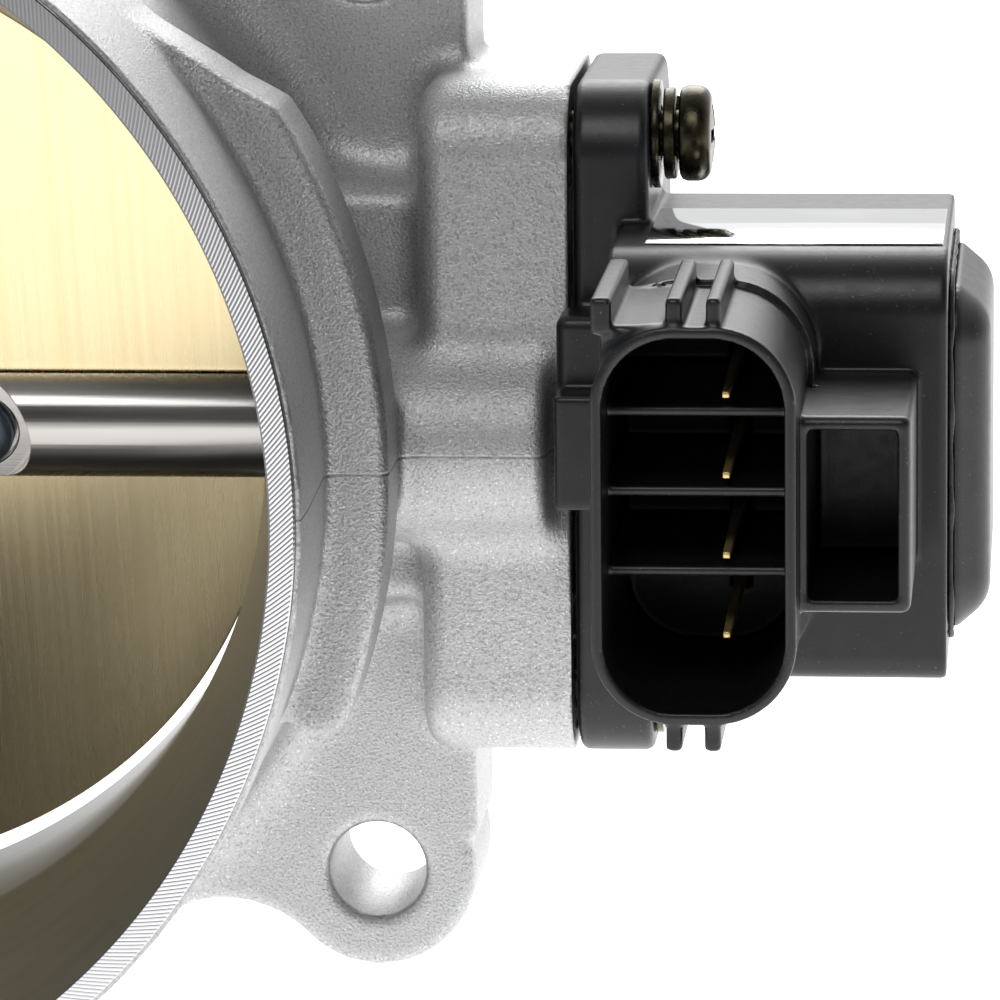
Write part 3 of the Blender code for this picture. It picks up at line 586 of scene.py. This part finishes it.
def brass_look():
    """The blade: brass brushed along Z."""
    look = Look("brushed_brass", (0.90, 0.75, 0.46), 0.27, 1.0)
    look.bump(look.noise(0.15, (1.0, 600.0, 600.0), 2.0), 0.002)
    look.bump(look.noise(0.7, (1.0, 300.0, 300.0), 2.0), 0.002)
    look.tint(look.ramp(look.noise(1.1, (1.0, 200.0, 200.0), 3.0), 0.45, 0.8), (0.84, 0.68, 0.39))
    look.shine(look.noise(0.4, (1.0, 100.0, 100.0)), 0.08)
    return look.done()


def steel_look():
    """Ground steel, lines running along the bar."""
    look = Look("ground_steel", (0.50, 0.48, 0.46), 0.22, 1.0)
    look.bump(look.noise(0.12, (60.0, 1.0, 1.0), 2.0), 0.002)
    look.shine(look.noise(0.5, (30.0, 1.0, 1.0)), 0.15)
    return look.done(0.1)


def zinc_look():
    """Olive zinc plating, blotched, its edges rounded in the shading."""
    look = Look("olive_zinc", (0.040, 0.036, 0.024), 0.28, 0.95)
    look.tint(look.ramp(look.noise(1.6, detail=4.0), 0.45, 0.68), (0.085, 0.072, 0.042))
    look.bump(look.noise(0.3), 0.015)
    look.shine(look.noise(0.8), 0.25)
    return look.done(0.15)


def screw_look():
    """Blue-grey zinc on the blade screws."""
    look = Look("blue_zinc", (0.28, 0.34, 0.40), 0.33, 1.0)
    look.bump(look.noise(0.25), 0.01)
    look.shine(look.noise(0.7), 0.2)
    return look.done(0.1)


def plastic_look(name="moulded_plastic", colour=(0.007, 0.0075, 0.009)):
    """Black glass-filled plastic from a spark-eroded mould, with painted glints."""
    look = Look(name, colour, 0.36, 0.0)
    look.bump(look.noise(0.15, detail=2.0, rough=0.6), 0.009)
    look.tint(look.ramp(look.noise(2.5, detail=4.0), 0.5, 0.85), tuple(c * 1.8 for c in colour))
    # painted glints: small light specks stand in for the sparkle of light on the spark-eroded surface
    look.tint(look.ramp(look.noise(0.20, detail=1.0), 0.70, 0.78), (0.09, 0.09, 0.10))
    look.shine(look.noise(0.9, detail=3.0), 0.15)
    return look.done()


def plain_look(name, colour, roughness, metallic, grain=0.4, depth=0.01):
    """A simple finish with a fine grain."""
    look = Look(name, colour, roughness, metallic)
    look.bump(look.noise(grain), depth)
    look.shine(look.noise(grain * 3), 0.15)
    return look.done(0.1)


# ---- the casting ---------------------------------------------------------------------------------
def cast_field():
    """The as-cast body: everything but the turned duct."""
    f = Field((CAST_LOW.x - 2, RIM_Y - 1, CAST_LOW.z - 2),
              (CAST_HIGH.x + 2, FLANGE_REAR + 1.5, CAST_HIGH.z + 2), CAST_STEP)
    radius = np.hypot(f.x, f.z)
    side = np.abs(f.x)
    axis = (0.0, 0.0)

    # tube and flange
    f.add(slab(radius - along_curve(f.y, TUBE_OUTSIDE), f.y, RIM_Y + 0.6, FLANGE_REAR - 0.5))
    f.add(slab(flange_flat(side, np.abs(f.z)), f.y, FLANGE_FRONT, FLANGE_REAR, 0.7), 5.0)

    # shaft bosses, gear tray and hump
    f.add(box_field(f, *WEB, 1.5), 4.0)
    f.add(rod_field(f, axis, BOSS_RADIUS, BOSS_START, BOSS_END), 3.0)
    f.add(rod_field(f, axis, LEFT_BOSS_RADIUS, LEFT_BOSS_END, -BOSS_START, 0.8), 4.0)
    f.add(slab(rounded_flat(f.y, f.z, TRAY, TRAY_CORNER), f.x, TRAY_LEFT, TRAY_END + 4.0, 1.8), 2.4)
    hump = (np.hypot((f.y + HUMP_DEPTH) / HUMP_DEPTH, f.z / HUMP_HEIGHT) - 1.0) * HUMP_HEIGHT
    f.add(slab(hump, f.x, HUMP_START, HUMP_END, 1.0), 2.2)
    f.value = np.maximum(f.value, f.x - TRAY_END)

    # a hose lip on each side
    for mirror in (1, -1):
        f.add(slab(lip_flat(f, radius, mirror), f.y, LIP_FRONT, LIP_BACK, 0.9), 0.7)

    # duct, gear space round its screw posts, bearing seats, shaft hole and bolt holes
    f.cut(radius - along_curve(f.y, SKIN_INSIDE))
    cavity = slab(tray_inside(f), f.x, TRAY_FLOOR, BEYOND)
    for y, z in SCREWS:
        cavity = np.maximum(cavity, POST_RADIUS - np.hypot(f.y - y, f.z - z))
        f.cut(rod_field(f, (y, z), CAST_HOLE, SCREW_TIP - 1.0, BEYOND))
    f.cut(cavity)
    f.cut(rod_field(f, axis, BEARING_RADIUS, BEARING_START, BEYOND))
    f.cut(rod_field(f, axis, BEARING_RADIUS, -BEYOND, -BEARING_START))
    f.cut(rod_field(f, axis, SHAFT_RADIUS + CLEARANCE, -BEYOND, BEYOND))
    hole = np.hypot(side - BOLT[0], np.abs(f.z) - BOLT[1])
    face = np.minimum(np.abs(f.y - FLANGE_FRONT), np.abs(f.y - FLANGE_REAR))
    f.cut(hole - BOLT_HOLE - np.maximum(BOLT_CHAMFER - face, 0))
    return f


def lip_flat(f, radius, mirror):
    """Outline of one hose lip: a ring sector with a round lower end and a slanted upper end."""
    angle = np.degrees(np.arctan2(f.z, mirror * f.x))
    end = (LIP_END - angle) * MM_PER_DEGREE
    lip = np.maximum(radius - along_curve(angle, LIP_CREST), end)
    middle = LIP_OUTER - LIP_CORNER
    corner = np.hypot(np.maximum(radius - middle, 0.0), np.maximum(end + LIP_CORNER, 0.0)) - LIP_CORNER
    lip = np.where((radius > middle) & (end > -LIP_CORNER), corner, lip).astype(np.float32)
    lip = np.maximum(lip, (mirror * -f.x) * 0.5)
    return np.maximum(lip, LIP_INSIDE - radius)


def tray_inside(f):
    """Outline of the gear space."""
    return rounded_flat(f.y, f.z, grown(TRAY, -WALL), TRAY_CORNER - WALL)


def flange_flat(side, height):
    """Outline of the flange in one quarter: disc, straight side, bolt ear and the fillet between."""
    reach = FLANGE_RADIUS + EAR_FILLET
    ear_reach = EAR_RADIUS + EAR_FILLET
    span = math.hypot(*BOLT)
    along = (reach ** 2 - ear_reach ** 2 + span ** 2) / (2 * span)
    across = math.sqrt(reach ** 2 - along ** 2)
    centre = ((along * BOLT[0] - across * BOLT[1]) / span,
              (along * BOLT[1] + across * BOLT[0]) / span)
    fillet = EAR_FILLET - np.hypot(side - centre[0], height - centre[1])
    for start, end in (((0.0, 0.0), BOLT), (BOLT, centre), (centre, (0.0, 0.0))):
        fillet = np.maximum(fillet, side_of(side, height, start, end))
    flat = np.minimum(np.hypot(side, height) - FLANGE_RADIUS, fillet)
    box = (-FLANGE_SIDE, FLANGE_SIDE, -FLANGE_TOP, FLANGE_TOP)
    flat = np.minimum(flat, rounded_flat(side, height, box, 1.0))
    return np.minimum(flat, np.hypot(side - BOLT[0], height - BOLT[1]) - EAR_RADIUS)


def duct_mesh():
    """The turned duct: rim, tapered throat, bore and rear face with its seal groove."""
    groove_floor = FLANGE_REAR - SEAL_DEPTH
    profile = [(RIM_OUTER, RIM_Y + 0.08), (RIM_OUTER - 0.1, RIM_Y), (RIM_RADIUS + 0.1, RIM_Y),
               (RIM_RADIUS - 0.03, RIM_Y + 0.1), (BORE_RADIUS + 0.06, THROAT_END - 0.8),
               (BORE_RADIUS, THROAT_END + 0.6), (BORE_RADIUS, FLANGE_REAR - BORE_CHAMFER),
               (BORE_RADIUS + BORE_CHAMFER, FLANGE_REAR), (SEAL_INNER, FLANGE_REAR),
               (SEAL_INNER, groove_floor), (SEAL_OUTER + 0.6, groove_floor),
               (SEAL_OUTER + 0.6, groove_floor - 1.0), (SEAL_OUTER - 0.2, groove_floor - 1.8),
               (SEAL_OUTER - 0.2, -20.0), (RIM_OUTER - 0.4, RIM_Y + 6.0), (RIM_OUTER - 0.2, RIM_Y + 1.2),
               (RIM_OUTER + 0.05, RIM_Y + 0.8)]
    mesh = lathe("duct", profile, "Y", steps=256, sharp=24)
    holes = [rod_mesh("bearing_hole_%d" % sign, SHAFT_RADIUS + CLEARANCE, 38.0 * sign, 50.0 * sign)
             for sign in (1, -1)]
    return cut_with(mesh, holes)


def casting():
    """The casting piece: cast skin and turned duct, each with its own finish."""
    skin = cast_field().mesh("cast_skin")
    duct = duct_mesh()
    mesh = joined("casting", [skin, duct])
    piece("casting_looks", mesh, "housing", "cast_aluminium", cast_look(), "throttle_casting")
    mesh.materials.append(machined_look())
    mesh.materials.append(rim_look())
    mesh.materials.append(cast_look("sand_cast_lip", 0.24, 0.085, 0.46, 0.40))
    machined, rim, lip = 1, 2, 3
    skin_faces = len(skin.polygons)
    index = np.zeros(len(mesh.polygons), np.int32)
    centres = np.zeros(len(mesh.polygons) * 3)
    mesh.polygons.foreach_get("center", centres)
    centres = centres.reshape(-1, 3) / MM
    x, y = centres[:, 0], centres[:, 1]
    radius = np.hypot(x, centres[:, 2])
    lip_front = (y > LIP_FRONT - 1.1) & (y < LIP_FRONT + 1.5) & (radius > TUBE_OUTSIDE[0][1])
    lip_crest = (y > LIP_FRONT - 1.1) & (y < LIP_BACK - 1.2) & (radius > LIP_OUTER - 0.8)
    index[lip_front | lip_crest] = lip
    index[skin_faces:] = machined
    index[(y < RIM_Y + 0.05) & (radius < RIM_OUTER + 0.1)] = rim
    index[:skin_faces][x[:skin_faces] > TRAY_END - 0.05] = machined
    index[:skin_faces][y[:skin_faces] > FLANGE_REAR - 0.05] = machined
    mesh.polygons.foreach_set("material_index", index)


# ---- blade and shaft -----------------------------------------------------------------------------
def tilted(mesh):
    """A mesh drawn square to the bore, turned to the blade's rest angle."""
    mesh.transform(Matrix.Rotation(REST_ANGLE, 4, "X"))
    return mesh


def blade():
    """The elliptical blade, its edge ground parallel to the bore when closed."""
    edge = 0.12
    profile = [(BLADE_RADIUS - edge, BLADE_HALF), (BLADE_RADIUS, BLADE_HALF - edge),
               (BLADE_RADIUS, edge - BLADE_HALF), (BLADE_RADIUS - edge, -BLADE_HALF),
               (0.0, -BLADE_HALF), (0.0, BLADE_HALF)]
    mesh = lathe("blade", profile, "Y", steps=256)
    lean = Matrix.Identity(4)
    lean[2][1] = -math.tan(CLOSED_ANGLE)
    lean[2][2] = 1 / math.cos(CLOSED_ANGLE)
    mesh.transform(lean)
    piece("blade_looks", tilted(mesh), "throttle", "blade_brass", brass_look(), "throttle_blade")


def shaft():
    """The bar, with a slot for the blade and a spot-face for each screw."""
    left, right, chamfer = SHAFT_LOW.x, SHAFT_HIGH.x, 0.4
    profile = [(SHAFT_RADIUS - chamfer, right), (SHAFT_RADIUS, right - chamfer),
               (SHAFT_RADIUS, left + chamfer), (SHAFT_RADIUS - chamfer, left), (0.0, left), (0.0, right)]
    mesh = lathe("shaft", profile, "X", steps=96)
    reach, half = BLADE_RADIUS + 0.15, BLADE_HALF + CLEARANCE
    tools = [rounded_block("slot", (-reach, -half, -6.0), (reach, half, 6.0), 0.05, 1)]
    hole, seat = BLADE_THREAD + CLEARANCE, HEAD_RADIUS + CLEARANCE
    seat_y = CLEARANCE / 2 - HEAD_SEAT
    for sign in (-1, 1):
        steps = [(0.0, 6.0), (hole, 6.0), (hole, seat_y), (seat, seat_y), (seat, 0.1 - SPOT_DEPTH),
                 (seat + 0.1, -SPOT_DEPTH), (SPOT_RADIUS, -SPOT_DEPTH), (SPOT_RADIUS, -8.0), (0.0, -8.0)]
        tools.append(lathe("spot", steps, "Y", (sign * SCREW_X, 0, 0), 64))
    mesh = cut_with(mesh, tools)
    piece("shaft_looks", tilted(mesh), "throttle", "steel", steel_look(), "throttle_shaft")


def blade_screws():
    """Pan heads with a cross recess."""
    look = screw_look()
    profile = [(BLADE_THREAD, 3.6), (BLADE_THREAD, -HEAD_SEAT), (HEAD_RADIUS, -HEAD_SEAT),
               (HEAD_RADIUS, -2.9), (HEAD_RADIUS - 0.15, -3.3), (HEAD_RADIUS - 0.6, -3.7), (1.2, -4.0),
               (0.0, -4.08), (0.0, 3.6)]
    for side, sign in (("right", 1), ("left", -1)):
        at = (sign * SCREW_X, 0.0, 0.0)
        cross = cross_tools("Y", at, (-6.0, -3.1), 1.7, 0.35, 0.05)
        mesh = tilted(cut_with(lathe("screw", profile, "Y", at, 64), cross))
        piece("blade_screw_%s_looks" % side, mesh, "throttle", "zinc_steel", look, "blade_screw_" + side)


# ---- the cover -----------------------------------------------------------------------------------
def cover_field():
    """Cover frame, motor housing, connector shell, ribs and latch loop."""
    margin = Vector((1.0, 1.0, 1.0))
    f = Field(COVER_LOW - margin, COVER_HIGH + margin, COVER_STEP)
    front, _, _, top = HOUSING
    left, right, low, high = SHELL

    # frame, motor housing and the block over the shaft's end
    f.add(slab(rounded_flat(f.y, f.z, TRAY, TRAY_CORNER), f.x, COVER_START, COVER_ROOF, 0.7))
    body = rounded_flat(f.y, f.z, HOUSING, 1.6)
    ahead, above = f.y - front - HOUSING_CORNER, f.z - top + HOUSING_CORNER
    corner = np.hypot(np.minimum(ahead, 0), np.maximum(above, 0)) - HOUSING_CORNER
    body = np.where((ahead < 0) & (above > 0), np.maximum(corner, body), body)
    f.add(slab(body, f.x, HOUSING_LEFT, HOUSING_END, 0.35), 0.6)
    f.add(box_field(f, *SHAFT_COVER, 0.8), 1.2)
    f.add(box_field(f, *SHAFT_COVER_FRONT, 0.3), 0.4)

    # connector shell with its collar and the filled corner under the first rib
    collar_end = COLLAR_FRONT + 1.0
    collar = rounded_flat(f.x, f.z, grown(SHELL, SHELL_STEP), SHELL_CORNER + SHELL_STEP)
    socket = rounded_flat(f.x, f.z, grown(SHELL, -SHELL_WALL), SHELL_CORNER - SHELL_WALL)
    f.add(slab(collar, f.y, COLLAR_FRONT, front + 4.0, 0.25), 0.5)
    f.add(slab(rounded_flat(f.x, f.z, SHELL, SHELL_CORNER), f.y, SHELL_FRONT, front + 2.0, 0.25))
    f.add(box_field(f, (left + 0.7, SHELL_FRONT + 0.6, high - 2.4), (74.0, collar_end, high), 0.4), 0.8)
    f.cut(slab(socket, f.y, SHELL_FRONT - 5.0, SOCKET_FLOOR))

    # shelves between the terminals, a slot round each, ribs above and keels below
    heights = [(terminal_low.z + terminal_high.z) / 2 for terminal_low, terminal_high in TERMINALS]
    for height in heights[:3]:
        f.add(box_field(f, (left + 0.4, SHELL_FRONT + 5.0, height - 1.6),
                        (right - 0.4, SOCKET_FLOOR + 1.0, height - 0.9), 0.15), 0.3)
    for height in heights:
        f.cut(box_field(f, (TERMINAL_SLOT[0], SOCKET_FLOOR - 1.0, height - 0.8),
                        (TERMINAL_SLOT[1], SOCKET_FLOOR + 3.0, height + 0.8), 0.1))
    for a, b in RIBS:
        f.add(box_field(f, (a, SHELL_FRONT + 0.3, high - 0.6), (b, collar_end, high + RIB_HEIGHT), 0.3), 0.3)
    for a, b in KEELS:
        f.add(box_field(f, (a, SHELL_FRONT + 0.3, low - RIB_HEIGHT), (b, collar_end, low + 0.4), 0.3), 0.3)
    f.cut(slab(socket, f.y, SHELL_FRONT - 5.0, SHELL_FRONT + 5.0))

    # latch loop and the seam round the collar
    bottom, roof = LATCH_HEIGHTS
    f.add(box_field(f, (right - 0.4, LATCH_FRONT, bottom), (LATCH_RIGHT, front + 1.0, roof), 0.6), 0.3)
    f.cut(box_field(f, (right + 0.5, LATCH_FRONT - 5.0, bottom + LATCH_WALL),
                    (LATCH_RIGHT - LATCH_WALL, front - 0.6, roof - LATCH_WALL), 0.4))
    half_step = SHELL_STEP / 2
    seam = np.abs(rounded_flat(f.x, f.z, grown(SHELL, half_step), SHELL_CORNER + half_step)) - half_step
    f.cut(slab(seam, f.y, COLLAR_FRONT - 0.1, COLLAR_FRONT + 0.45))

    # motor well and the gear space round its screw posts
    motor_y, motor_z = [(JOINTS["rotor_spin"]["pos_m"][k] - CENTRE[k]) / MM for k in (1, 2)]
    f.cut(rod_field(f, (motor_y, motor_z), MOTOR_WELL, MOTOR_WELL_START, BEYOND))
    f.cut(rod_field(f, (motor_y, motor_z), MOTOR_NECK, 66.0, MOTOR_WELL_START + 1.2))
    inner = tray_inside(f)
    cavity = slab(inner, f.x, -BEYOND, COVER_ROOF - 1.5)
    for y, z in SCREWS:
        cavity = np.maximum(cavity, POST_RADIUS - np.hypot(f.y - y, f.z - z))
        f.cut(rod_field(f, (y, z), COVER_HOLE, -BEYOND, BEYOND))
    f.cut(cavity)
    f.cut(slab(inner - 0.9, f.x, -BEYOND, COVER_START + 0.9))
    return f


def cover():
    """The moulded cover."""
    mesh = cover_field().mesh("cover")
    piece("cover_looks", mesh, "housing", "black_plastic", plastic_look(), "gear_cover")


def lid():
    """The motor's end lid, with a broad chamfer."""
    f = Field(LID_LOW - Vector((1.0, 1.0, 2.0)), LID_HIGH + Vector((1.0, 1.0, 1.0)), COVER_STEP)
    box = (LID_LOW.y, LID_HIGH.y, LID_LOW.z - 0.9, LID_HIGH.z)
    flat = rounded_flat(f.y, f.z, box, 4.0)
    face = f.x - LID_HIGH.x
    slope = (flat + 0.85 * (face + 2.3)) / 1.31
    f.add(-smooth_min(-slope, -face, 1.1))
    f.value = np.maximum(f.value, np.maximum(flat, LID_LOW.x - f.x))
    plastic = plastic_look("lid_plastic", (0.012, 0.0125, 0.014))
    piece("lid_looks", f.mesh("lid"), "housing", "black_plastic", plastic, "cover_lid")


def bead():
    """The sealant: an uneven dark ribbon between housing and lid."""
    low, high = local_box("lid_sealant")
    f = Field((low.x - 0.5, low.y - 1, low.z - 2), (high.x + 0.5, high.y + 1, high.z + 1), 0.13)
    path = rounded_flat(f.y, f.z, (low.y + 0.4, high.y - 0.4, low.z - 0.3, high.z - 0.4), 4.8)
    wander = 0.06 * np.sin(f.y * 1.1 + 0.7) * np.sin(f.z * 0.9) + 0.03 * np.sin(f.z * 1.9 + f.y * 1.3)
    f.add(np.hypot(path, f.x - low.x - 0.1) - 0.24 - wander)
    f.value = np.maximum(f.value, low.x - 0.06 - f.x)
    rubber = plain_look("sealant", (0.008, 0.008, 0.009), 0.45, 0.0, 0.5, 0.05)
    piece("bead_looks", f.mesh("bead"), "housing", "rubber", rubber, "lid_sealant")


def terminals():
    """Plated blades with a tapered tip."""
    gold = plain_look("plated_terminal", (0.83, 0.62, 0.26), 0.32, 0.75, 0.3, 0.004)
    for number, (low, high) in enumerate(TERMINALS, 1):
        low, high = low - Vector((0.12, 0.0, 0.0)), high + Vector((0.12, 0.0, 0.0))
        mesh = rounded_block("terminal", low, high, 0.08, 2)
        middle = (low + high) / 2 * MM
        for vertex in mesh.vertices:
            if vertex.co.y < (low.y + 0.3) * MM:
                vertex.co.x = middle.x + (vertex.co.x - middle.x) * 0.55
                vertex.co.z = middle.z + (vertex.co.z - middle.z) * 0.55
        piece("terminal_%d_looks" % number, mesh, "housing", "terminal_gold", gold, "terminal_%d" % number)


def cover_fasteners():
    """Each cover screw with its spring and flat washers."""
    zinc = zinc_look()
    for number, (y, z) in enumerate(SCREWS, 1):
        at = (0.0, y, z)
        for kind, mesh in (("cover_screw", cover_screw(at)), ("flat_washer", flat_washer(at)),
                           ("spring_washer", spring_washer(y, z))):
            name = "%s_%d" % (kind, number)
            piece(name + "_looks", mesh, "housing", "zinc_steel", zinc, name)


def cover_screw(at):
    """A rounded pan head with a cross recess, and its shank."""
    under, top = SCREW_HEAD
    radius, shoulder, drop = SCREW_HEAD_RADIUS, 1.1, 1.0
    turns = [math.pi / 2 * i / 6 for i in range(7)]
    inside, below = radius - shoulder, top - 0.2 - drop
    crown = [(inside + shoulder * math.sin(t), below + drop * math.cos(t)) for t in turns]
    profile = ([(0.0, top), (1.3, top - 0.05)] + crown
               + [(radius, under + 0.5), (radius - 0.15, under + 0.15), (radius - 0.4, under),
                  (SCREW_THREAD, under), (SCREW_THREAD, SCREW_TIP), (0.0, SCREW_TIP)])
    cross = cross_tools("X", at, (top - 1.05, top + 1.05), 2.1, 0.45, 0.08)
    return cut_with(lathe("screw", profile, "X", at, 64), cross)


def flat_washer(at):
    """A plain ring with broken edges."""
    low, high, hole = WASHER_START, WASHER_START + 0.55, 2.1
    profile = [(WASHER_RADIUS - 0.05, high), (WASHER_RADIUS, high - 0.1), (WASHER_RADIUS, low + 0.1),
               (WASHER_RADIUS - 0.05, low), (hole, low), (hole, high)]
    return lathe("washer", profile, "X", at, 64)


def spring_washer(y, z):
    """A split ring with a slight twist."""
    steps, gap, rise, start = 72, math.radians(7), 0.18, 0.9
    radius, width, thick, edge = SPRING_RADIUS, 1.2, 0.85, 0.12
    section = [(radius - edge, thick), (radius, thick - edge), (radius, edge), (radius - edge, 0.0),
               (radius - width, 0.0), (radius - width, thick)]
    verts, faces = [], []
    for i in range(steps + 1):
        turn = gap / 2 + (2 * math.pi - gap) * i / steps + start
        lift = SPRING_START + rise * i / steps
        across, upward = math.cos(turn), math.sin(turn)
        verts += [((lift + x) * MM, (y + r * across) * MM, (z + r * upward) * MM) for r, x in section]
    count = len(section)
    for i in range(steps):
        for k in range(count):
            a, b = i * count + k, i * count + (k + 1) % count
            faces.append((a, b, b + count, a + count))
    faces.append(tuple(reversed(range(count))))
    faces.append(tuple(range(steps * count, (steps + 1) * count)))
    mesh = bpy.data.meshes.new("spring_washer")
    mesh.from_pydata(verts, [], faces)
    work = bmesh.new()
    work.from_mesh(mesh)
    bmesh.ops.recalc_face_normals(work, faces=work.faces)
    work.to_mesh(mesh)
    work.free()
    mesh.shade_smooth()
    mesh.set_sharp_from_angle(angle=math.radians(30))
    return mesh


def label():
    """The blank foil on the housing."""
    paper = plain_look("blank_foil", (0.93, 0.94, 0.95), 0.10, 1.0, 3.0, 0.002)
    mesh = rounded_block("label", LABEL_LOW, LABEL_HIGH, 0.05, 1)
    piece("label_looks", mesh, "housing", "label_film", paper, "blank_label")


def hidden_pieces():
    """Finishes for the CAD pieces that stay as they are."""
    finishes = {
        "steel": steel_look(),
        "rubber": plain_look("black_rubber", (0.02, 0.02, 0.02), 0.7, 0.0),
        "nylon": plain_look("gear_nylon", (0.74, 0.70, 0.60), 0.45, 0.0),
        "magnet": plain_look("sintered_magnet", (0.10, 0.10, 0.11), 0.5, 0.7),
        "copper": plain_look("copper_wire", (0.70, 0.33, 0.16), 0.3, 1.0),
        "iron": plain_look("laminations", (0.24, 0.24, 0.25), 0.45, 0.9),
        "carbon": plain_look("carbon_brush", (0.03, 0.03, 0.03), 0.6, 0.0),
        "board": plain_look("circuit_board", (0.02, 0.14, 0.06), 0.4, 0.0),
        "pinion_brass": plain_look("pinion_brass", (0.80, 0.64, 0.34), 0.3, 1.0),
        "zinc_steel": zinc_look(),
        "black_plastic": plastic_look("inner_plastic"),
    }
    slots = {part["node"]: part["material_slot"] for part in frame["record"]["subparts"]}
    for name, item in frame["nodes"].items():
        if not item.hide_render and slots[name] in finishes:
            item.data.materials.clear()
            item.data.materials.append(finishes[slots[name]])


# ---- studio --------------------------------------------------------------------------------------
def studio():
    """A pale table whose glow fades toward the camera, and the lights."""
    bpy.ops.mesh.primitive_plane_add(size=6.0, location=(0.0, 0.0, CENTRE.z + (CAST_LOW.z - 0.5) * MM))
    floor = bpy.context.object
    floor.name = "studio_floor"
    look = Look("studio_floor", (0.75, 0.75, 0.75), 0.8, 0.0)
    split = look.node("ShaderNodeSeparateXYZ")
    look.link(look.place, split.inputs[0])
    lit = look.ramp(split.outputs["Y"], *GLOW_FADE)
    look.link(look.math("MULTIPLY", lit, GLOW), look.shader.inputs["Emission Strength"])
    look.shader.inputs["Emission Color"].default_value = (1.0, 1.0, 1.0, 1.0)
    floor.data.materials.append(look.done())

    for name, (offset, size, power) in LIGHTS.items():
        soft_light(name, offset, size, power)


def room():
    """The world light: bright behind the object, dim before it, white where the camera sees it."""
    world = bpy.data.worlds.new("studio")
    world.use_nodes = True
    tree = world.node_tree
    place = tree.nodes.new("ShaderNodeTexCoord")
    split = tree.nodes.new("ShaderNodeSeparateXYZ")
    tree.links.new(place.outputs["Generated"], split.inputs[0])
    back = tree.nodes.new("ShaderNodeMapRange")
    for key, value in zip(("From Min", "From Max", "To Min", "To Max"), ROOM):
        back.inputs[key].default_value = value
    tree.links.new(split.outputs["Y"], back.inputs["Value"])
    path = tree.nodes.new("ShaderNodeLightPath")
    shown = tree.nodes.new("ShaderNodeMath")
    shown.operation = "MAXIMUM"
    tree.links.new(back.outputs["Result"], shown.inputs[0])
    tree.links.new(path.outputs["Is Camera Ray"], shown.inputs[1])
    background = tree.nodes["Background"]
    tree.links.new(shown.outputs[0], background.inputs["Strength"])
    background.inputs["Color"].default_value = (1.0, 1.0, 1.0, 1.0)
    bpy.context.scene.world = world


def soft_light(name, offset, size, power):
    """A square area light aimed at the bore centre."""
    lamp = bpy.data.lights.new(name, "AREA")
    lamp.size = size
    lamp.energy = power
    item = bpy.data.objects.new(name, lamp)
    bpy.context.scene.collection.objects.link(item)
    item.location = CENTRE + Vector(offset)
    item.rotation_euler = (-Vector(offset)).to_track_quat("-Z", "Y").to_euler()


def camera():
    """Looks from the inlet side, a little from above and to the right."""
    yaw, pitch, roll = (math.radians(v) for v in CAMERA_ANGLES)
    forward = Vector((-math.sin(yaw) * math.cos(pitch), math.cos(yaw) * math.cos(pitch), -math.sin(pitch)))
    right = Vector((math.cos(yaw), math.sin(yaw), 0.0))
    up = right.cross(forward)
    across = math.cos(roll) * right + math.sin(roll) * up
    upward = math.cos(roll) * up - math.sin(roll) * right
    data = bpy.data.cameras.new("camera")
    data.sensor_width = CAMERA_SENSOR
    data.lens = CAMERA_LENS
    data.clip_start = 0.01
    item = bpy.data.objects.new("camera", data)
    bpy.context.scene.collection.objects.link(item)
    place = Matrix((across, upward, -forward)).transposed().to_4x4()
    place.translation = CENTRE + Vector(CAMERA_OFFSET) * MM
    item.matrix_world = place
    bpy.context.scene.camera = item


def build():
    """Every piece, then the studio around them."""
    casting()
    blade()
    shaft()
    blade_screws()
    cover()
    lid()
    bead()
    terminals()
    cover_fasteners()
    label()
    hidden_pieces()
    studio()
    room()
    camera()
    bpy.context.scene.view_settings.view_transform = "Standard"


build()
